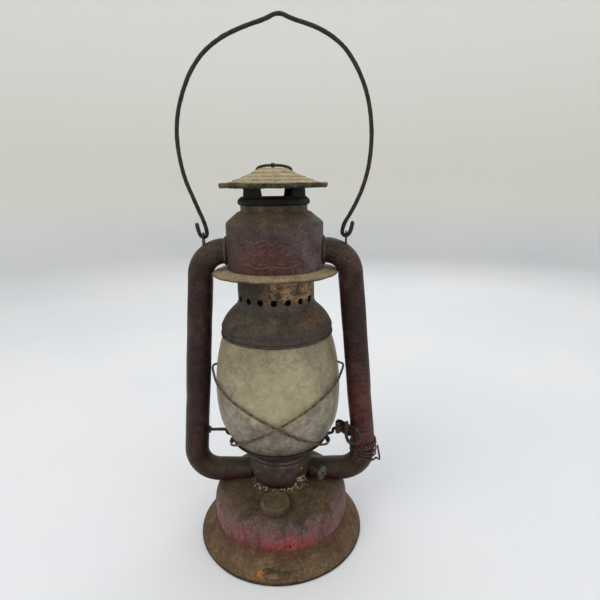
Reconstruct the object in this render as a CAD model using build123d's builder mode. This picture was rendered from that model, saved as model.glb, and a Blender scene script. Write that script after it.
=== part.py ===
from build123d import *
import os
from math import sin, cos, tan, radians, pi, sqrt, acos

# Barn lantern, cold-blast pattern with a short globe. Millimetres, +Z up, side
# tubes along X, filler cap towards -Y. Origin: centre of the foot ring on the
# surface that it stands on.

# ---------------------------------------------------------------- dimensions
sheet = 0.8                     # gauge of the pressed tinplate
foot_r = 85.0                   # outer radius of the foot ring
font_r = 69.0                   # fuel font wall
font_floor_z = 8.0
font_wall_top_z = 37.0
font_mouth_r = 26.5             # hole in the font's dome, under the burner
collar_r = 32.5                 # air chamber above the font
collar_base_z = 60.0
collar_top_z = 98.6
tube_r = 12.0                   # side air tubes
tube_top_z = 296.6              # centre line where a tube enters the hood
tube_low_z = 65.0
tube_top_x = 69.2               # corner points of the tube's centre line
tube_low_x = 89.15
tube_top_bend = 23.6
tube_low_bend = 23.0
tube_foot_z = 66.6              # centre of the flattened end in the collar
hood_r = 44.9
hood_low_z = 280.8
hood_shoulder_z = 322.0
hood_neck_r = 30.6
hood_neck_top_z = 338.0
guard_ring_r = 58.7             # rain guard
bell_neck_r = 36.3
bell_rim_r = 54.0
bell_rim_z = 217.6
bell_hole_z = 254.0
bell_hole_r = 3.0
bell_holes = 18
flue_r = 29.2
cap_r = 49.1
cap_rim_z = 355.8
cap_top_z = 370.5
window_angle = 53.0
post_first_angle = -125.5       # polar angle of the first vent post
pivot_z = 111.0                 # lift crank axis
rod_r = 1.5
rod_bore_r = 1.57
guard_wire_r = 1.0
bail_wire_r = 1.85
bail_bore_r = 1.93
bail_pivot_x = 66.2
bail_pivot_z = 309.5
filler_x = -3.0
filler_y = -49.5
filler_z = 56.8                 # where the neck's axis meets the dome
filler_tilt = 5.0
filler_cap_r = 14.2
burner_turn = -34.0             # direction of the wick spindle
spindle_z = 74.8
spindle_offset = 5.0
wheel_r = 3.7


# ------------------------------------------------------------------- helpers
def offset_points(points, t):
    """Profile moved by t to the left of its direction of travel."""
    out = []
    n = len(points)
    normals = []
    for i in range(n - 1):
        dx = points[i + 1][0] - points[i][0]
        dz = points[i + 1][1] - points[i][1]
        d = sqrt(dx * dx + dz * dz)
        normals.append((-dz / d, dx / d))
    for i in range(n):
        a = normals[max(i - 1, 0)]
        b = normals[min(i, n - 2)]
        k = t / (1 + a[0] * b[0] + a[1] * b[1])
        out.append((points[i][0] + k * (a[0] + b[0]), points[i][1] + k * (a[1] + b[1])))
    return out


def shell_outline(points, t):
    """Closed outline of a sheet t thick whose outer face is points."""
    return list(points) + offset_points(points, t)[::-1]


def bend_radii(points, share=0.45, cap=60.0):
    """Radius of each bend of a formed wire: a share of its shorter run."""
    radii = []
    for a, b, c in zip(points[:-2], points[1:-1], points[2:]):
        u = Vector(*b) - Vector(*a)
        w = Vector(*c) - Vector(*b)
        turn = radians(u.get_angle(w))
        radii.append(min(cap, share * min(u.length, w.length) / tan(turn / 2)))
    return radii


def around(r, angle, z):
    return (r * cos(radians(angle)), r * sin(radians(angle)), z)


# ------------------------------------------------------------ foot and font
foot_profile = [
    (81.6, 0.0), (84.3, 0.0), (foot_r, 0.9), (foot_r, 2.3), (84.3, 3.2), (82.6, 4.2),
    (79.0, 6.6), (74.4, 10.8), (71.2, 15.4), (70.0, 19.5), (69.9, 23.0),
    (69.08, 23.0), (69.1, 19.2), (70.4, 15.0), (73.8, 10.2), (78.4, 5.9), (81.6, 3.6),
]
with BuildPart() as foot_ring:
    with BuildSketch(Plane.XZ):
        with BuildLine():
            Polyline(*foot_profile, close=True)
        make_face()
    revolve(axis=Axis.Z)
foot_ring.part.label = "foot_ring"

# side tubes: the round part, then the flattened end that enters the collar
tube_line = [
    (41.5, 0, tube_top_z), (tube_top_x, 0, tube_top_z),
    (tube_low_x, 0, tube_low_z), (62.0, 0, tube_low_z),
]
tube_end_x = 29.4


def tube_body(r, flat_w, flat_h):
    with BuildPart() as body:
        with BuildLine() as path:
            FilletPolyline(*tube_line, radius=[tube_top_bend, tube_low_bend])
        with BuildSketch(Plane(origin=path.line @ 0, z_dir=path.line % 0)):
            Circle(r)
        sweep(path=path.line)
        with BuildSketch(Plane(origin=(62.0, 0, tube_low_z), x_dir=(0, 1, 0), z_dir=(-1, 0, 0))):
            Circle(r)
        with BuildSketch(Plane(origin=(tube_end_x, 0, tube_foot_z), x_dir=(0, 1, 0), z_dir=(-1, 0, 0))):
            Ellipse(flat_w, flat_h)
        loft()
    return body.part


tube_envelope = tube_body(tube_r, 12.0, 9.3)
tube_bore = tube_body(tube_r - sheet, 12.0 - sheet, 9.3 - sheet)
tube_cutter = tube_body(tube_r + 0.04, 12.04, 9.34)

with BuildPart() as right_tube:
    add(tube_envelope)
    add(tube_bore, mode=Mode.SUBTRACT)
right_tube.part.label = "right_tube"

with BuildPart() as left_tube:
    mirror(right_tube.part, about=Plane.YZ)
    with BuildSketch(Plane.YZ.offset(-80.0)):
        with Locations((0, pivot_z)):
            Circle(2.2)
    extrude(amount=12.0, mode=Mode.SUBTRACT)
left_tube.part.label = "left_tube"

filler_axis = Vector(0, -sin(radians(filler_tilt)), cos(radians(filler_tilt)))
filler_plane = Plane(origin=(filler_x, filler_y, filler_z), x_dir=(1, 0, 0), z_dir=filler_axis)

dome_line = [
    (font_r, font_wall_top_z), (68.3, 43.0), (66.2, 48.0), (62.5, 52.0), (57.0, 54.8),
    (50.0, 56.6), (40.0, 58.2), (font_mouth_r, 59.6),
]
dome_inner = offset_points([(font_r, 30.0)] + dome_line, sheet)[1:]
with BuildPart() as font_tank:
    with BuildSketch(Plane.XZ):
        with BuildLine():
            wall = Line((font_r, font_floor_z), dome_line[0])
            dome = Spline(*dome_line, tangents=[(0, 1), (-1, 0.08)])
            inner = Spline(*dome_inner, tangents=[(0, 1), (-1, 0.08)])
            Line(dome @ 1, inner @ 1)
            wall_inner = Line(inner @ 0, (font_r - sheet, font_floor_z))
            Line(wall_inner @ 1, wall @ 0)
        make_face()
    revolve(axis=Axis.Z)
    add(tube_cutter, mode=Mode.SUBTRACT)
    mirror(tube_cutter, about=Plane.YZ, mode=Mode.SUBTRACT)
    with BuildSketch(filler_plane.offset(-14.0)):
        Circle(10.94)
    extrude(amount=24.0, mode=Mode.SUBTRACT)
font_tank.part.label = "font_tank"

with BuildPart() as font_bottom:
    with BuildSketch(Plane.XZ):
        with BuildLine():
            Polyline(
                (0, 10.2), (40.0, 9.6), (62.0, font_floor_z), (68.16, font_floor_z),
                (68.16, 12.0), (67.36, 12.0), (67.36, 8.8), (62.2, 8.8), (40.0, 10.4),
                (0, 11.0), close=True,
            )
        make_face()
    revolve(axis=Axis.Z)
font_bottom.part.label = "font_bottom"

with BuildPart() as filler_neck:
    with BuildSketch(filler_plane.offset(-7.0)):
        Circle(10.9)
        Circle(9.9, mode=Mode.SUBTRACT)
    extrude(amount=11.4)
filler_neck.part.label = "filler_neck"

cap_floor = 2.0                 # lower edge of the cap, above the dome
with BuildPart() as filler_gasket:
    with BuildSketch(filler_plane.offset(4.6)):
        Circle(10.8)
        Circle(4.0, mode=Mode.SUBTRACT)
    extrude(amount=1.2)
filler_gasket.part.label = "filler_gasket"

with BuildPart() as filler_cap:
    with BuildSketch(filler_plane.offset(cap_floor)):
        Circle(filler_cap_r - 0.3)
    extrude(amount=5.6)
    with BuildSketch(filler_plane.offset(cap_floor + 4.6)):
        Circle(11.4)
    extrude(amount=1.6)
    with BuildSketch(filler_plane.offset(cap_floor - 1.0)):
        Circle(11.15)
    extrude(amount=4.9, mode=Mode.SUBTRACT)
    # knurled skirt: ribs left standing between shallow grooves
    with BuildSketch(filler_plane.offset(cap_floor)):
        with PolarLocations(filler_cap_r - 0.3, 36):
            Circle(0.62)
    extrude(amount=4.4)
    with BuildSketch(filler_plane.offset(cap_floor + 6.0)):
        Circle(0.9)
    extrude(amount=1.0, mode=Mode.SUBTRACT)
filler_cap.part.label = "filler_cap"

# --------------------------------------------------------- collar and burner
collar_line = [
    (26.9, collar_base_z - 0.2), (29.2, 63.4), (31.0, 68.5), (32.1, 75.0), (collar_r, 82.0),
    (collar_r, 87.6), (31.7, 88.6), (collar_r, 89.6), (collar_r, 92.4), (31.7, 93.4),
    (collar_r, 94.4), (collar_r, collar_top_z),
]
with BuildPart() as collar:
    with BuildSketch(Plane.XZ):
        with BuildLine():
            Polyline(*shell_outline(collar_line, sheet), close=True)
        make_face()
    revolve(axis=Axis.Z)
    add(tube_cutter, mode=Mode.SUBTRACT)
    mirror(tube_cutter, about=Plane.YZ, mode=Mode.SUBTRACT)
    with BuildSketch(Plane.XY.offset(spindle_z)):
        with Locations(Rot(0, 0, burner_turn) * Pos(31.0, spindle_offset)):
            Rectangle(8.0, 3.4)
    extrude(amount=1.7, both=True, mode=Mode.SUBTRACT)
collar.part.label = "collar"

with BuildPart() as collar_foot:
    # soldered ring that seats the collar on the font's dome
    with BuildSketch(Plane.XZ):
        with BuildLine():
            Polyline((22.4, 59.0), (25.9, 59.0), (25.9, 60.6), (24.6, 60.6), (24.6, 62.6), (22.4, 62.6), close=True)
        make_face()
    revolve(axis=Axis.Z)
collar_foot.part.label = "burner_seat"

burner_plane = Plane(origin=(0, 0, 0), x_dir=around(1, burner_turn, 0), z_dir=(0, 0, 1))
with BuildPart() as burner_body:
    with BuildSketch(Plane.XZ):
        with BuildLine():
            Polyline(
                (17.0, 62.8), (24.2, 62.8), (24.2, 64.0), (18.2, 64.0), (18.2, 78.0), (19.6, 82.0),
                (19.6, 94.6), (18.8, 94.6), (18.8, 82.2), (17.4, 78.2), (17.0, 64.0), close=True,
            )
        make_face()
    revolve(axis=Axis.Z)
    with BuildSketch(Plane.XY.offset(spindle_z)):
        with Locations(Rot(0, 0, burner_turn) * Pos(20.0, spindle_offset)):
            Rectangle(12.0, 2.66)
    extrude(amount=1.33, both=True, mode=Mode.SUBTRACT)
burner_body.part.label = "burner_body"

with BuildPart() as wick_tube:
    with BuildSketch(burner_plane.offset(58.0)):
        RectangleRounded(17.4, 3.8, 1.8)
        RectangleRounded(16.4, 2.8, 1.3, mode=Mode.SUBTRACT)
    extrude(amount=54.0)
    # base disc that closes the burner below, holed for air and wick
    with BuildSketch(burner_plane.offset(64.2)):
        Circle(16.8)
        RectangleRounded(17.0, 3.4, 1.6, mode=Mode.SUBTRACT)
        with PolarLocations(12.6, 10):
            Circle(1.2, mode=Mode.SUBTRACT)
    extrude(amount=0.8)
    # slots where the ratchet wheels reach the wick
    with BuildSketch(burner_plane.offset(spindle_z - 5.0)):
        with Locations((-4.2, 2.2), (4.2, 2.2)):
            Rectangle(1.8, 2.4)
    extrude(amount=10.0, mode=Mode.SUBTRACT)
wick_tube.part.label = "wick_tube"

with BuildPart() as wick:
    with BuildSketch(burner_plane.offset(22.0)):
        RectangleRounded(15.4, 1.9, 0.8)
    extrude(amount=92.0)
wick.part.label = "wick"

spindle_dir = Vector(*around(1, burner_turn, 0))
spindle_side = Vector(*around(1, burner_turn + 90, 0))
spindle_origin = spindle_side * spindle_offset + Vector(0, 0, spindle_z)
spindle_plane = Plane(origin=spindle_origin, x_dir=spindle_side, z_dir=spindle_dir)
with BuildPart() as wick_spindle:
    with BuildSketch(spindle_plane.offset(-15.0)):
        Circle(1.25)
    extrude(amount=66.4)
wick_spindle.part.label = "wick_spindle"

with BuildPart() as ratchet_wheels:
    for at in (-4.8, 3.6):
        with BuildSketch(spindle_plane.offset(at)):
            Circle(wheel_r - 0.75)
            with PolarLocations(wheel_r - 0.75, 12):
                Rectangle(1.5, 0.9)
            Circle(1.25, mode=Mode.SUBTRACT)
        extrude(amount=1.2)
ratchet_wheels.part.label = "ratchet_wheels"

knob_start = 47.6
with BuildPart() as wick_knob:
    with BuildSketch(spindle_plane.offset(knob_start)):
        Circle(6.4)
        with PolarLocations(6.4, 24):
            Circle(0.45)
        Circle(1.25, mode=Mode.SUBTRACT)
    extrude(amount=1.3)
    with BuildSketch(spindle_plane.offset(knob_start + 1.3)):
        Circle(5.6)
        Circle(4.5, mode=Mode.SUBTRACT)
    extrude(amount=1.0)
    with BuildSketch(spindle_plane.offset(knob_start - 1.6)):
        Circle(2.6)
        Circle(1.25, mode=Mode.SUBTRACT)
    extrude(amount=1.6)
wick_knob.part.label = "wick_knob"

with BuildPart() as air_strainer:
    with BuildSketch(Plane.XY.offset(95.0)):
        Circle(31.6)
        Circle(18.0, mode=Mode.SUBTRACT)
        with PolarLocations(22.6, 18):
            Circle(1.4, mode=Mode.SUBTRACT)
        with PolarLocations(27.6, 24):
            Circle(1.4, mode=Mode.SUBTRACT)
    extrude(amount=0.7)
air_strainer.part.label = "air_strainer"

cone_line = [(24.6, 95.9), (24.6, 100.0), (22.4, 106.5), (18.6, 112.8), (13.0, 118.2), (10.4, 119.8)]
with BuildPart() as burner_cone:
    with BuildSketch(Plane.XZ):
        with BuildLine():
            outer = Spline(*cone_line[1:], tangents=[(0, 1), (-1, 0.5)])
            inner_pts = offset_points([cone_line[0]] + cone_line[1:], 0.6)[1:]
            inner = Spline(*inner_pts, tangents=[(0, 1), (-1, 0.5)])
            low = Line(cone_line[0], outer @ 0)
            Line(outer @ 1, inner @ 1)
            low_in = Line(inner @ 0, (24.0, 95.9))
            Line(low_in @ 1, low @ 0)
        make_face()
    revolve(axis=Axis.Z)
burner_cone.part.label = "burner_cone"

# ----------------------------------------------------------- hood and guard
hood_outline = [
    (37.7, hood_low_z), (hood_r, hood_low_z), (hood_r, 321.6), (44.3, 323.2), (34.6, 331.4),
    (33.6, 332.2), (hood_neck_r + 0.2, 332.9), (hood_neck_r, 333.6), (hood_neck_r, hood_neck_top_z),
    (29.8, hood_neck_top_z), (29.8, 332.4), (33.2, 331.4), (34.0, 330.8), (43.5, 322.7),
    (44.1, 321.4), (44.1, hood_low_z + sheet), (37.7, hood_low_z + sheet),
]
with BuildPart() as hood:
    with BuildSketch(Plane.XZ):
        with BuildLine():
            Polyline(*hood_outline, close=True)
        make_face()
    revolve(axis=Axis.Z)
    add(tube_cutter, mode=Mode.SUBTRACT)
    mirror(tube_cutter, about=Plane.YZ, mode=Mode.SUBTRACT)
hood.part.label = "hood"

with BuildPart() as rain_guard:
    with BuildSketch(Plane.XZ):
        with BuildLine():
            Polyline(
                (38.4, 280.0), (44.6, 279.9), (50.0, 278.9), (56.8, 276.9), (57.6, 276.2),
                (58.4, 276.2), (guard_ring_r, 276.9), (58.5, 277.7), (57.2, 278.3), (50.2, 279.8),
                (45.6, 280.7), (38.4, 280.7), close=True,
            )
        make_face()
    revolve(axis=Axis.Z)
    add(tube_cutter, mode=Mode.SUBTRACT)
    mirror(tube_cutter, about=Plane.YZ, mode=Mode.SUBTRACT)
rain_guard.part.label = "rain_guard"

with BuildPart() as nozzle_rings:
    # half-round solder rings where the tubes enter the hood
    for side in (-1, 1):
        with BuildSketch(Plane.YZ.offset(side * 44.4)):
            with Locations((0, tube_top_z)):
                Circle(tube_r + 1.5)
                Circle(tube_r + 0.06, mode=Mode.SUBTRACT)
        extrude(amount=side * 2.0)
    with BuildSketch(Plane.XY.offset(280.9)):
        Circle(hood_r + 0.02)
    extrude(amount=40.0, mode=Mode.SUBTRACT)
nozzle_rings.part.label = "nozzle_rings"


def ear(side):
    with BuildPart() as body:
        with BuildSketch(Plane.YZ.offset(side * bail_pivot_x)):
            with Locations((0, 304.5)):
                Rectangle(9.0, 10.0)
            with Locations((0, bail_pivot_z)):
                Circle(4.5)
                Circle(bail_bore_r, mode=Mode.SUBTRACT)
        extrude(amount=0.6, both=True)
        if side > 0:
            add(tube_cutter, mode=Mode.SUBTRACT)
        else:
            mirror(tube_cutter, about=Plane.YZ, mode=Mode.SUBTRACT)
    return body.part


with BuildPart() as right_ear:
    add(ear(1))
right_ear.part.label = "right_ear"
with BuildPart() as left_ear:
    add(ear(-1))
left_ear.part.label = "left_ear"

# --------------------------------------------------------------------- bail
bail_points = [
    (-71.6, 0, 322.5), (-70.2, 0, bail_pivot_z), (-62.2, 0, bail_pivot_z), (-63.4, 0, 320.0),
    (-71.6, 0, 341.0), (-79.5, 0, 361.0), (-83.0, 0, 380.0), (-84.2, 0, 396.0), (-82.6, 0, 414.0),
    (-77.6, 0, 431.0), (-69.4, 0, 449.0), (-57.4, 0, 464.6), (-41.0, 0, 476.2), (-21.0, 0, 484.2),
    (-4.0, 0, 488.8), (7.5, 0, 494.4), (19.0, 0, 489.0), (35.0, 0, 484.4), (50.6, 0, 477.2),
    (64.2, 0, 466.4), (75.4, 0, 449.6), (83.4, 0, 430.0), (87.0, 0, 410.0), (87.8, 0, 390.0),
    (85.8, 0, 370.0), (80.2, 0, 350.0), (72.0, 0, 333.0), (63.2, 0, 319.0), (62.2, 0, bail_pivot_z),
    (70.2, 0, bail_pivot_z), (72.2, 0, 322.5),
]
bail_bends = bend_radii(bail_points)
for i in (0, 1, -2, -1):
    bail_bends[i] = 2.3
with BuildPart() as bail:
    with BuildLine() as bail_path:
        FilletPolyline(*bail_points, radius=bail_bends)
    with BuildSketch(Plane(origin=bail_path.line @ 0, z_dir=bail_path.line % 0)):
        Circle(bail_wire_r)
    sweep(path=bail_path.line)
bail.part.label = "bail"

# ----------------------------------------------- globe, its plate and guards
globe_line = [
    (38.6, 101.4), (43.6, 105.7), (48.6, 111.7), (53.5, 119.8), (57.8, 130.0), (60.4, 145.0),
    (61.2, 165.0), (59.4, 185.0), (56.0, 204.0), (52.2, 217.0), (49.6, 222.4),
]
globe_wall = 2.2
with BuildPart() as globe:
    with BuildSketch(Plane.XZ):
        with BuildLine():
            outer = Spline(*globe_line)
            inner = Spline(*offset_points(globe_line, globe_wall))
            Line(outer @ 0, inner @ 0)
            Line(outer @ 1, inner @ 1)
        make_face()
    revolve(axis=Axis.Z)
globe.part.label = "globe"

plate_profile = [
    (25.4, 98.9), (36.6, 98.9), (40.6, 100.4), (44.6, 104.0), (47.4, 107.6), (48.6, 108.0),
    (48.8, 108.8), (48.0, 109.3), (46.9, 108.8), (44.0, 105.1), (40.2, 101.3), (36.4, 99.7),
    (25.4, 99.7),
]
clip_x = 50.0
clip_z = 98.0
with BuildPart() as globe_plate:
    with BuildSketch(Plane.XZ):
        with BuildLine():
            Polyline(*plate_profile, close=True)
        make_face()
    revolve(axis=Axis.Z)
    with BuildSketch(Plane.XY.offset(98.0)):
        with PolarLocations(29.4, 24):
            Circle(1.3)
        with PolarLocations(33.6, 30):
            Circle(1.2)
    extrude(amount=3.0, mode=Mode.SUBTRACT)
    # ears that carry the guard wires' low corners
    for side in (-1, 1):
        with BuildSketch(Plane.XZ.offset(-2.4)):
            with BuildLine():
                Polyline(
                    (side * 43.6, 103.3), (side * 45.4, 104.8), (side * 50.4, 99.6),
                    (side * 49.0, 97.6), close=True,
                )
            make_face()
            with Locations((side * clip_x, clip_z)):
                Circle(2.2)
        extrude(amount=4.8)
    for side in (-1, 1):
        with BuildSketch(Plane.XZ.offset(-3.0)):
            with Locations((side * clip_x, clip_z)):
                Circle(guard_wire_r + 0.04)
        extrude(amount=6.0, mode=Mode.SUBTRACT)
    # feet that the lift crank pushes on
    for angle in (32.0, 148.0):
        with BuildSketch(Plane(origin=(0, 0, 99.0), x_dir=around(1, angle, 0), z_dir=(0, 0, 1))):
            with Locations((44.7, 0)):
                Rectangle(1.6, 8.0)
        extrude(amount=5.4)
globe_plate.part.label = "globe_plate"

guard_table = [
    # angle from the low corner, radius, height
    (14.0, 50.6, 101.2), (28.0, 51.6, 107.2), (42.0, 53.6, 114.4), (56.0, 57.4, 123.0),
    (70.0, 60.5, 132.4), (84.0, 62.3, 142.8), (98.0, 63.0, 152.0), (112.0, 63.3, 159.6),
    (126.0, 63.4, 166.0), (140.0, 63.4, 171.2), (154.0, 63.3, 175.2), (167.0, 63.2, 178.6),
]
outer_radius = {56.0: 57.7, 70.0: 61.8, 84.0: 64.7, 98.0: 65.4, 112.0: 64.6, 126.0: 63.9}


def guard_points(side, lifted):
    """Loop with its low corner at side * clip_x and its high corner opposite."""
    front = [(side * clip_x, -0.06, clip_z), (side * clip_x, -6.0, clip_z)]
    for angle, r, z in guard_table:
        rr = outer_radius.get(angle, r) if lifted else r
        front.append((side * rr * cos(radians(angle)), -rr * sin(radians(angle)), z))
    back = [(x, -y, z) for x, y, z in front][::-1]
    return front + [(-side * 66.0, 0.0, 182.4)] + back


def guard_wire(side, lifted):
    points = guard_points(side, lifted)
    bends = bend_radii(points)
    with BuildPart() as body:
        with BuildLine() as path:
            FilletPolyline(*points, radius=bends)
        with BuildSketch(Plane(origin=path.line @ 0, z_dir=path.line % 0)):
            Circle(guard_wire_r)
        sweep(path=path.line)
    return body.part


with BuildPart() as guard_wire_inner:
    add(guard_wire(1, False))
guard_wire_inner.part.label = "guard_wire_inner"
with BuildPart() as guard_wire_outer:
    add(guard_wire(-1, True))
guard_wire_outer.part.label = "guard_wire_outer"

# --------------------------------------------------------------- lift crank
crank_points = [
    (-76.5, 0, pivot_z), (-55.2, 0, pivot_z), (-56.0, 6.2, 103.2), (-52.0, 13.4, 97.0),
    (-41.0, 20.6, 96.6), (-32.0, 31.0, 90.2), (-18.0, 40.4, 83.6), (0, 43.6, 81.2),
    (18.0, 40.4, 83.6), (32.0, 31.0, 90.2), (41.0, 20.6, 96.6), (52.0, 13.4, 97.0),
    (56.0, 6.2, 103.2), (55.2, 0, pivot_z), (66.4, 0, pivot_z), (71.0, -9.0, 117.0), (76.5, -18.6, 121.0), (81.0, -19.4, 113.0),
    (80.0, -19.4, 107.0), (75.0, -19.4, 104.4), (69.4, -19.4, 106.4), (66.4, -19.4, 115.0),
    (67.6, -19.4, 129.6),
]
crank_bends = bend_radii(crank_points, cap=30.0)
crank_bends[0] = 2.6            # square bends beside the two journals
crank_bends[12] = 2.6
crank_bends[13] = 5.0
with BuildPart() as lift_crank:
    with BuildLine() as crank_path:
        FilletPolyline(*crank_points, radius=crank_bends)
    with BuildSketch(Plane(origin=crank_path.line @ 0, z_dir=crank_path.line % 0)):
        Circle(rod_r)
    sweep(path=crank_path.line)
lift_crank.part.label = "lift_crank"

with BuildPart() as crank_bearing:
    with BuildSketch(Plane.YZ.offset(58.0)):
        with Locations((0, pivot_z)):
            Circle(5.4)
            Circle(rod_bore_r, mode=Mode.SUBTRACT)
    extrude(amount=4.4)
crank_bearing.part.label = "crank_bearing"

with BuildPart() as lever_bracket:
    with BuildSketch(Plane.XZ.offset(-6.6)):
        with BuildLine():
            Polyline(
                (58.4, 107.0), (58.4, 115.4), (61.0, 117.6), (64.6, 116.8), (79.0, 107.4),
                (79.0, 98.4), (71.0, 98.4), close=True,
            )
        make_face()
        with Locations((70.6, 105.4)):
            Circle(1.6, mode=Mode.SUBTRACT)
    extrude(amount=1.2)
    add(tube_cutter, mode=Mode.SUBTRACT)
lever_bracket.part.label = "lever_bracket"

with BuildPart() as bracket_rivet:
    with BuildSketch(Plane.XZ.offset(-4.6)):
        with Locations((70.6, 105.4)):
            Circle(3.2)
    extrude(amount=-0.78)
    with BuildSketch(Plane.XZ.offset(-5.3)):
        with Locations((70.6, 105.4)):
            Circle(1.55)
    extrude(amount=-1.9)
    with BuildSketch(Plane.XZ.offset(-6.62)):
        with Locations((70.6, 105.4)):
            Circle(3.0)
    extrude(amount=-0.9)
bracket_rivet.part.label = "bracket_rivet"

with BuildPart() as pivot_bush:
    with BuildSketch(Plane.YZ.offset(-75.0)):
        with Locations((0, pivot_z)):
            Circle(3.6)
            Circle(rod_bore_r, mode=Mode.SUBTRACT)
    extrude(amount=3.6)
    mirror(tube_cutter, about=Plane.YZ, mode=Mode.SUBTRACT)
pivot_bush.part.label = "pivot_bush"

# ------------------------------------------------- wire repair on right tube
bend_cx, bend_cz = tube_low_x - 25.07, tube_low_z + tube_low_bend


def tube_axis(z):
    """Point and outward direction of the right tube's centre line at height z."""
    if z >= 90.0:
        x = tube_low_x - (z - tube_low_z) * (tube_low_x - tube_top_x) / (tube_top_z - tube_low_z)
        return (x, z), (0.9963, 0.0858)
    s = max(-0.95, min(0.0, (z - bend_cz) / tube_low_bend))
    c = sqrt(1 - s * s)
    return (bend_cx + tube_low_bend * c, bend_cz + tube_low_bend * s), (c, s)


wire_wobble = [0.0, 0.35, 0.1, 0.5, 0.2, 0.0, 0.4, 0.15]
repair_points = [(72.6, -12.4, 83.4), (77.4, -13.6, 86.2)]
turns, per_turn = 5, 8
for i in range(turns * per_turn + 3):
    f = i / per_turn
    z = 95.6 - 2.1 * f if f < 2.6 else 95.6 - 2.1 * 2.6 - 3.0 * (f - 2.6) - (1.2 if f > 3.1 else 0.0)
    z = max(z, 79.5)
    angle = radians(-112 + 360 * f)
    (ax, az), (nx, nz) = tube_axis(z)
    r = 13.95 + wire_wobble[i % 8]
    # the turns lean a little, as hand-wound wire does
    lean = 1.1 * sin(angle + 0.7 * f)
    repair_points.append((
        ax + r * cos(angle) * nx - lean * nz, r * sin(angle), az + r * cos(angle) * nz + lean * nx,
    ))
repair_points += [(101.0, -13.0, 82.0), (100.2, -20.0, 88.6), (101.2, -21.4, 94.6)]
with BuildPart() as repair_wire:
    with BuildLine() as repair_path:
        FilletPolyline(*repair_points, radius=bend_radii(repair_points, share=0.42, cap=13.0))
    with BuildSketch(Plane(origin=repair_path.line @ 0, z_dir=repair_path.line % 0)):
        Circle(0.6)
    sweep(path=repair_path.line)
repair_wire.part.label = "repair_wire"

# ------------------------------------------------------ chimney: bell to cap
bell_outline = [
    (28.5, 284.2), (36.0, 284.2), (bell_neck_r, 283.6), (bell_neck_r, 250.2), (37.9, 245.8),
    (41.2, 241.2), (46.2, 235.2), (50.3, 229.6), (52.8, 225.6), (53.1, 220.2), (53.8, 219.6),
    (bell_rim_r, 218.6), (53.6, 217.7), (52.6, 217.6), (52.1, 218.4), (52.35, 223.0),
    (45.8, 223.1), (45.8, 223.8), (51.8, 223.9), (51.95, 225.4), (49.5, 229.2), (45.5, 234.7),
    (40.5, 240.8), (37.2, 245.4), (35.5, 250.0), (35.5, 283.4), (28.5, 283.4),
]
with BuildPart() as bell:
    with BuildSketch(Plane.XZ):
        with BuildLine():
            Polyline(*bell_outline, close=True)
        make_face()
    revolve(axis=Axis.Z)
    with BuildSketch(Plane.YZ):
        with Locations((0, bell_hole_z)):
            Circle(bell_hole_r)
    bell_cut = extrude(amount=60.0, mode=Mode.PRIVATE)
    with PolarLocations(0.0, bell_holes, start_angle=10.0):
        add(bell_cut, mode=Mode.SUBTRACT)
bell.part.label = "bell"

with BuildPart() as flue:
    with BuildSketch(Plane.XY.offset(284.4)):
        Circle(flue_r)
        Circle(flue_r - 0.6, mode=Mode.SUBTRACT)
    extrude(amount=59.0)
flue.part.label = "flue"

with BuildPart() as vent_band:
    with BuildSketch(Plane.XZ):
        with BuildLine():
            Polyline(
                (29.3, 338.4), (31.6, 338.4), (32.8, 339.6), (33.0, 341.2), (32.4, 343.2),
                (30.8, 344.6), (30.0, 345.2), (30.0, 360.5), (29.3, 360.5), close=True,
            )
        make_face()
    revolve(axis=Axis.Z)
    for k in range(4):
        a = post_first_angle + 45.0 + 90.0 * k
        with BuildSketch(Plane(origin=(0, 0, 0), x_dir=around(1, a + 90, 0), z_dir=around(1, a, 0))):
            with BuildLine():
                Polyline((-12.6, 345.6), (12.6, 345.6), (14.2, 355.6), (-14.2, 355.6), close=True)
            make_face()
        extrude(amount=36.0, mode=Mode.SUBTRACT)
vent_band.part.label = "vent_band"

cap_outline = [
    (0, 370.2), (11.6, 370.2), (13.2, 369.7), (19.8, 366.6), (20.6, 365.7), (28.8, 362.7), (29.6, 361.9),
    (36.2, 359.9), (37.0, 359.1), (42.6, 357.6), (43.4, 356.9), (47.4, 356.2), (48.4, 357.1),
    (cap_r, 355.8), (48.6, 354.0), (47.2, 353.9), (46.4, 355.4), (43.0, 356.1), (36.6, 358.3),
    (29.2, 361.1), (20.2, 364.9), (12.9, 368.9), (11.4, 369.4), (0, 369.4),
]
with BuildPart() as chimney_cap:
    with BuildSketch(Plane.XZ):
        with BuildLine():
            Polyline(*cap_outline, close=True)
        make_face()
    revolve(axis=Axis.Z)
    with BuildSketch(Plane.XY.offset(370.2)):
        Circle(3.2)
    extrude(amount=0.3)
chimney_cap.part.label = "chimney_cap"

ring_wire_r = 1.0
lug_y = 1.0
lug_z = 372.7
lift_ring_r = 15.6
with BuildPart() as ring_lug:
    # staple through the cap's crown; its eye lies along X
    with BuildSketch(Plane.YZ.offset(-1.6)):
        with Locations((lug_y, lug_z)):
            Circle(2.15)
            Circle(ring_wire_r + 0.08, mode=Mode.SUBTRACT)
    extrude(amount=3.2)
ring_lug.part.label = "ring_lug"

ring_tilt = 14.0
ring_dy, ring_dz = cos(radians(ring_tilt)), -sin(radians(ring_tilt))


def ring_point(u, v):
    return (u, lug_y + v * ring_dy, lug_z + v * ring_dz)


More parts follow.
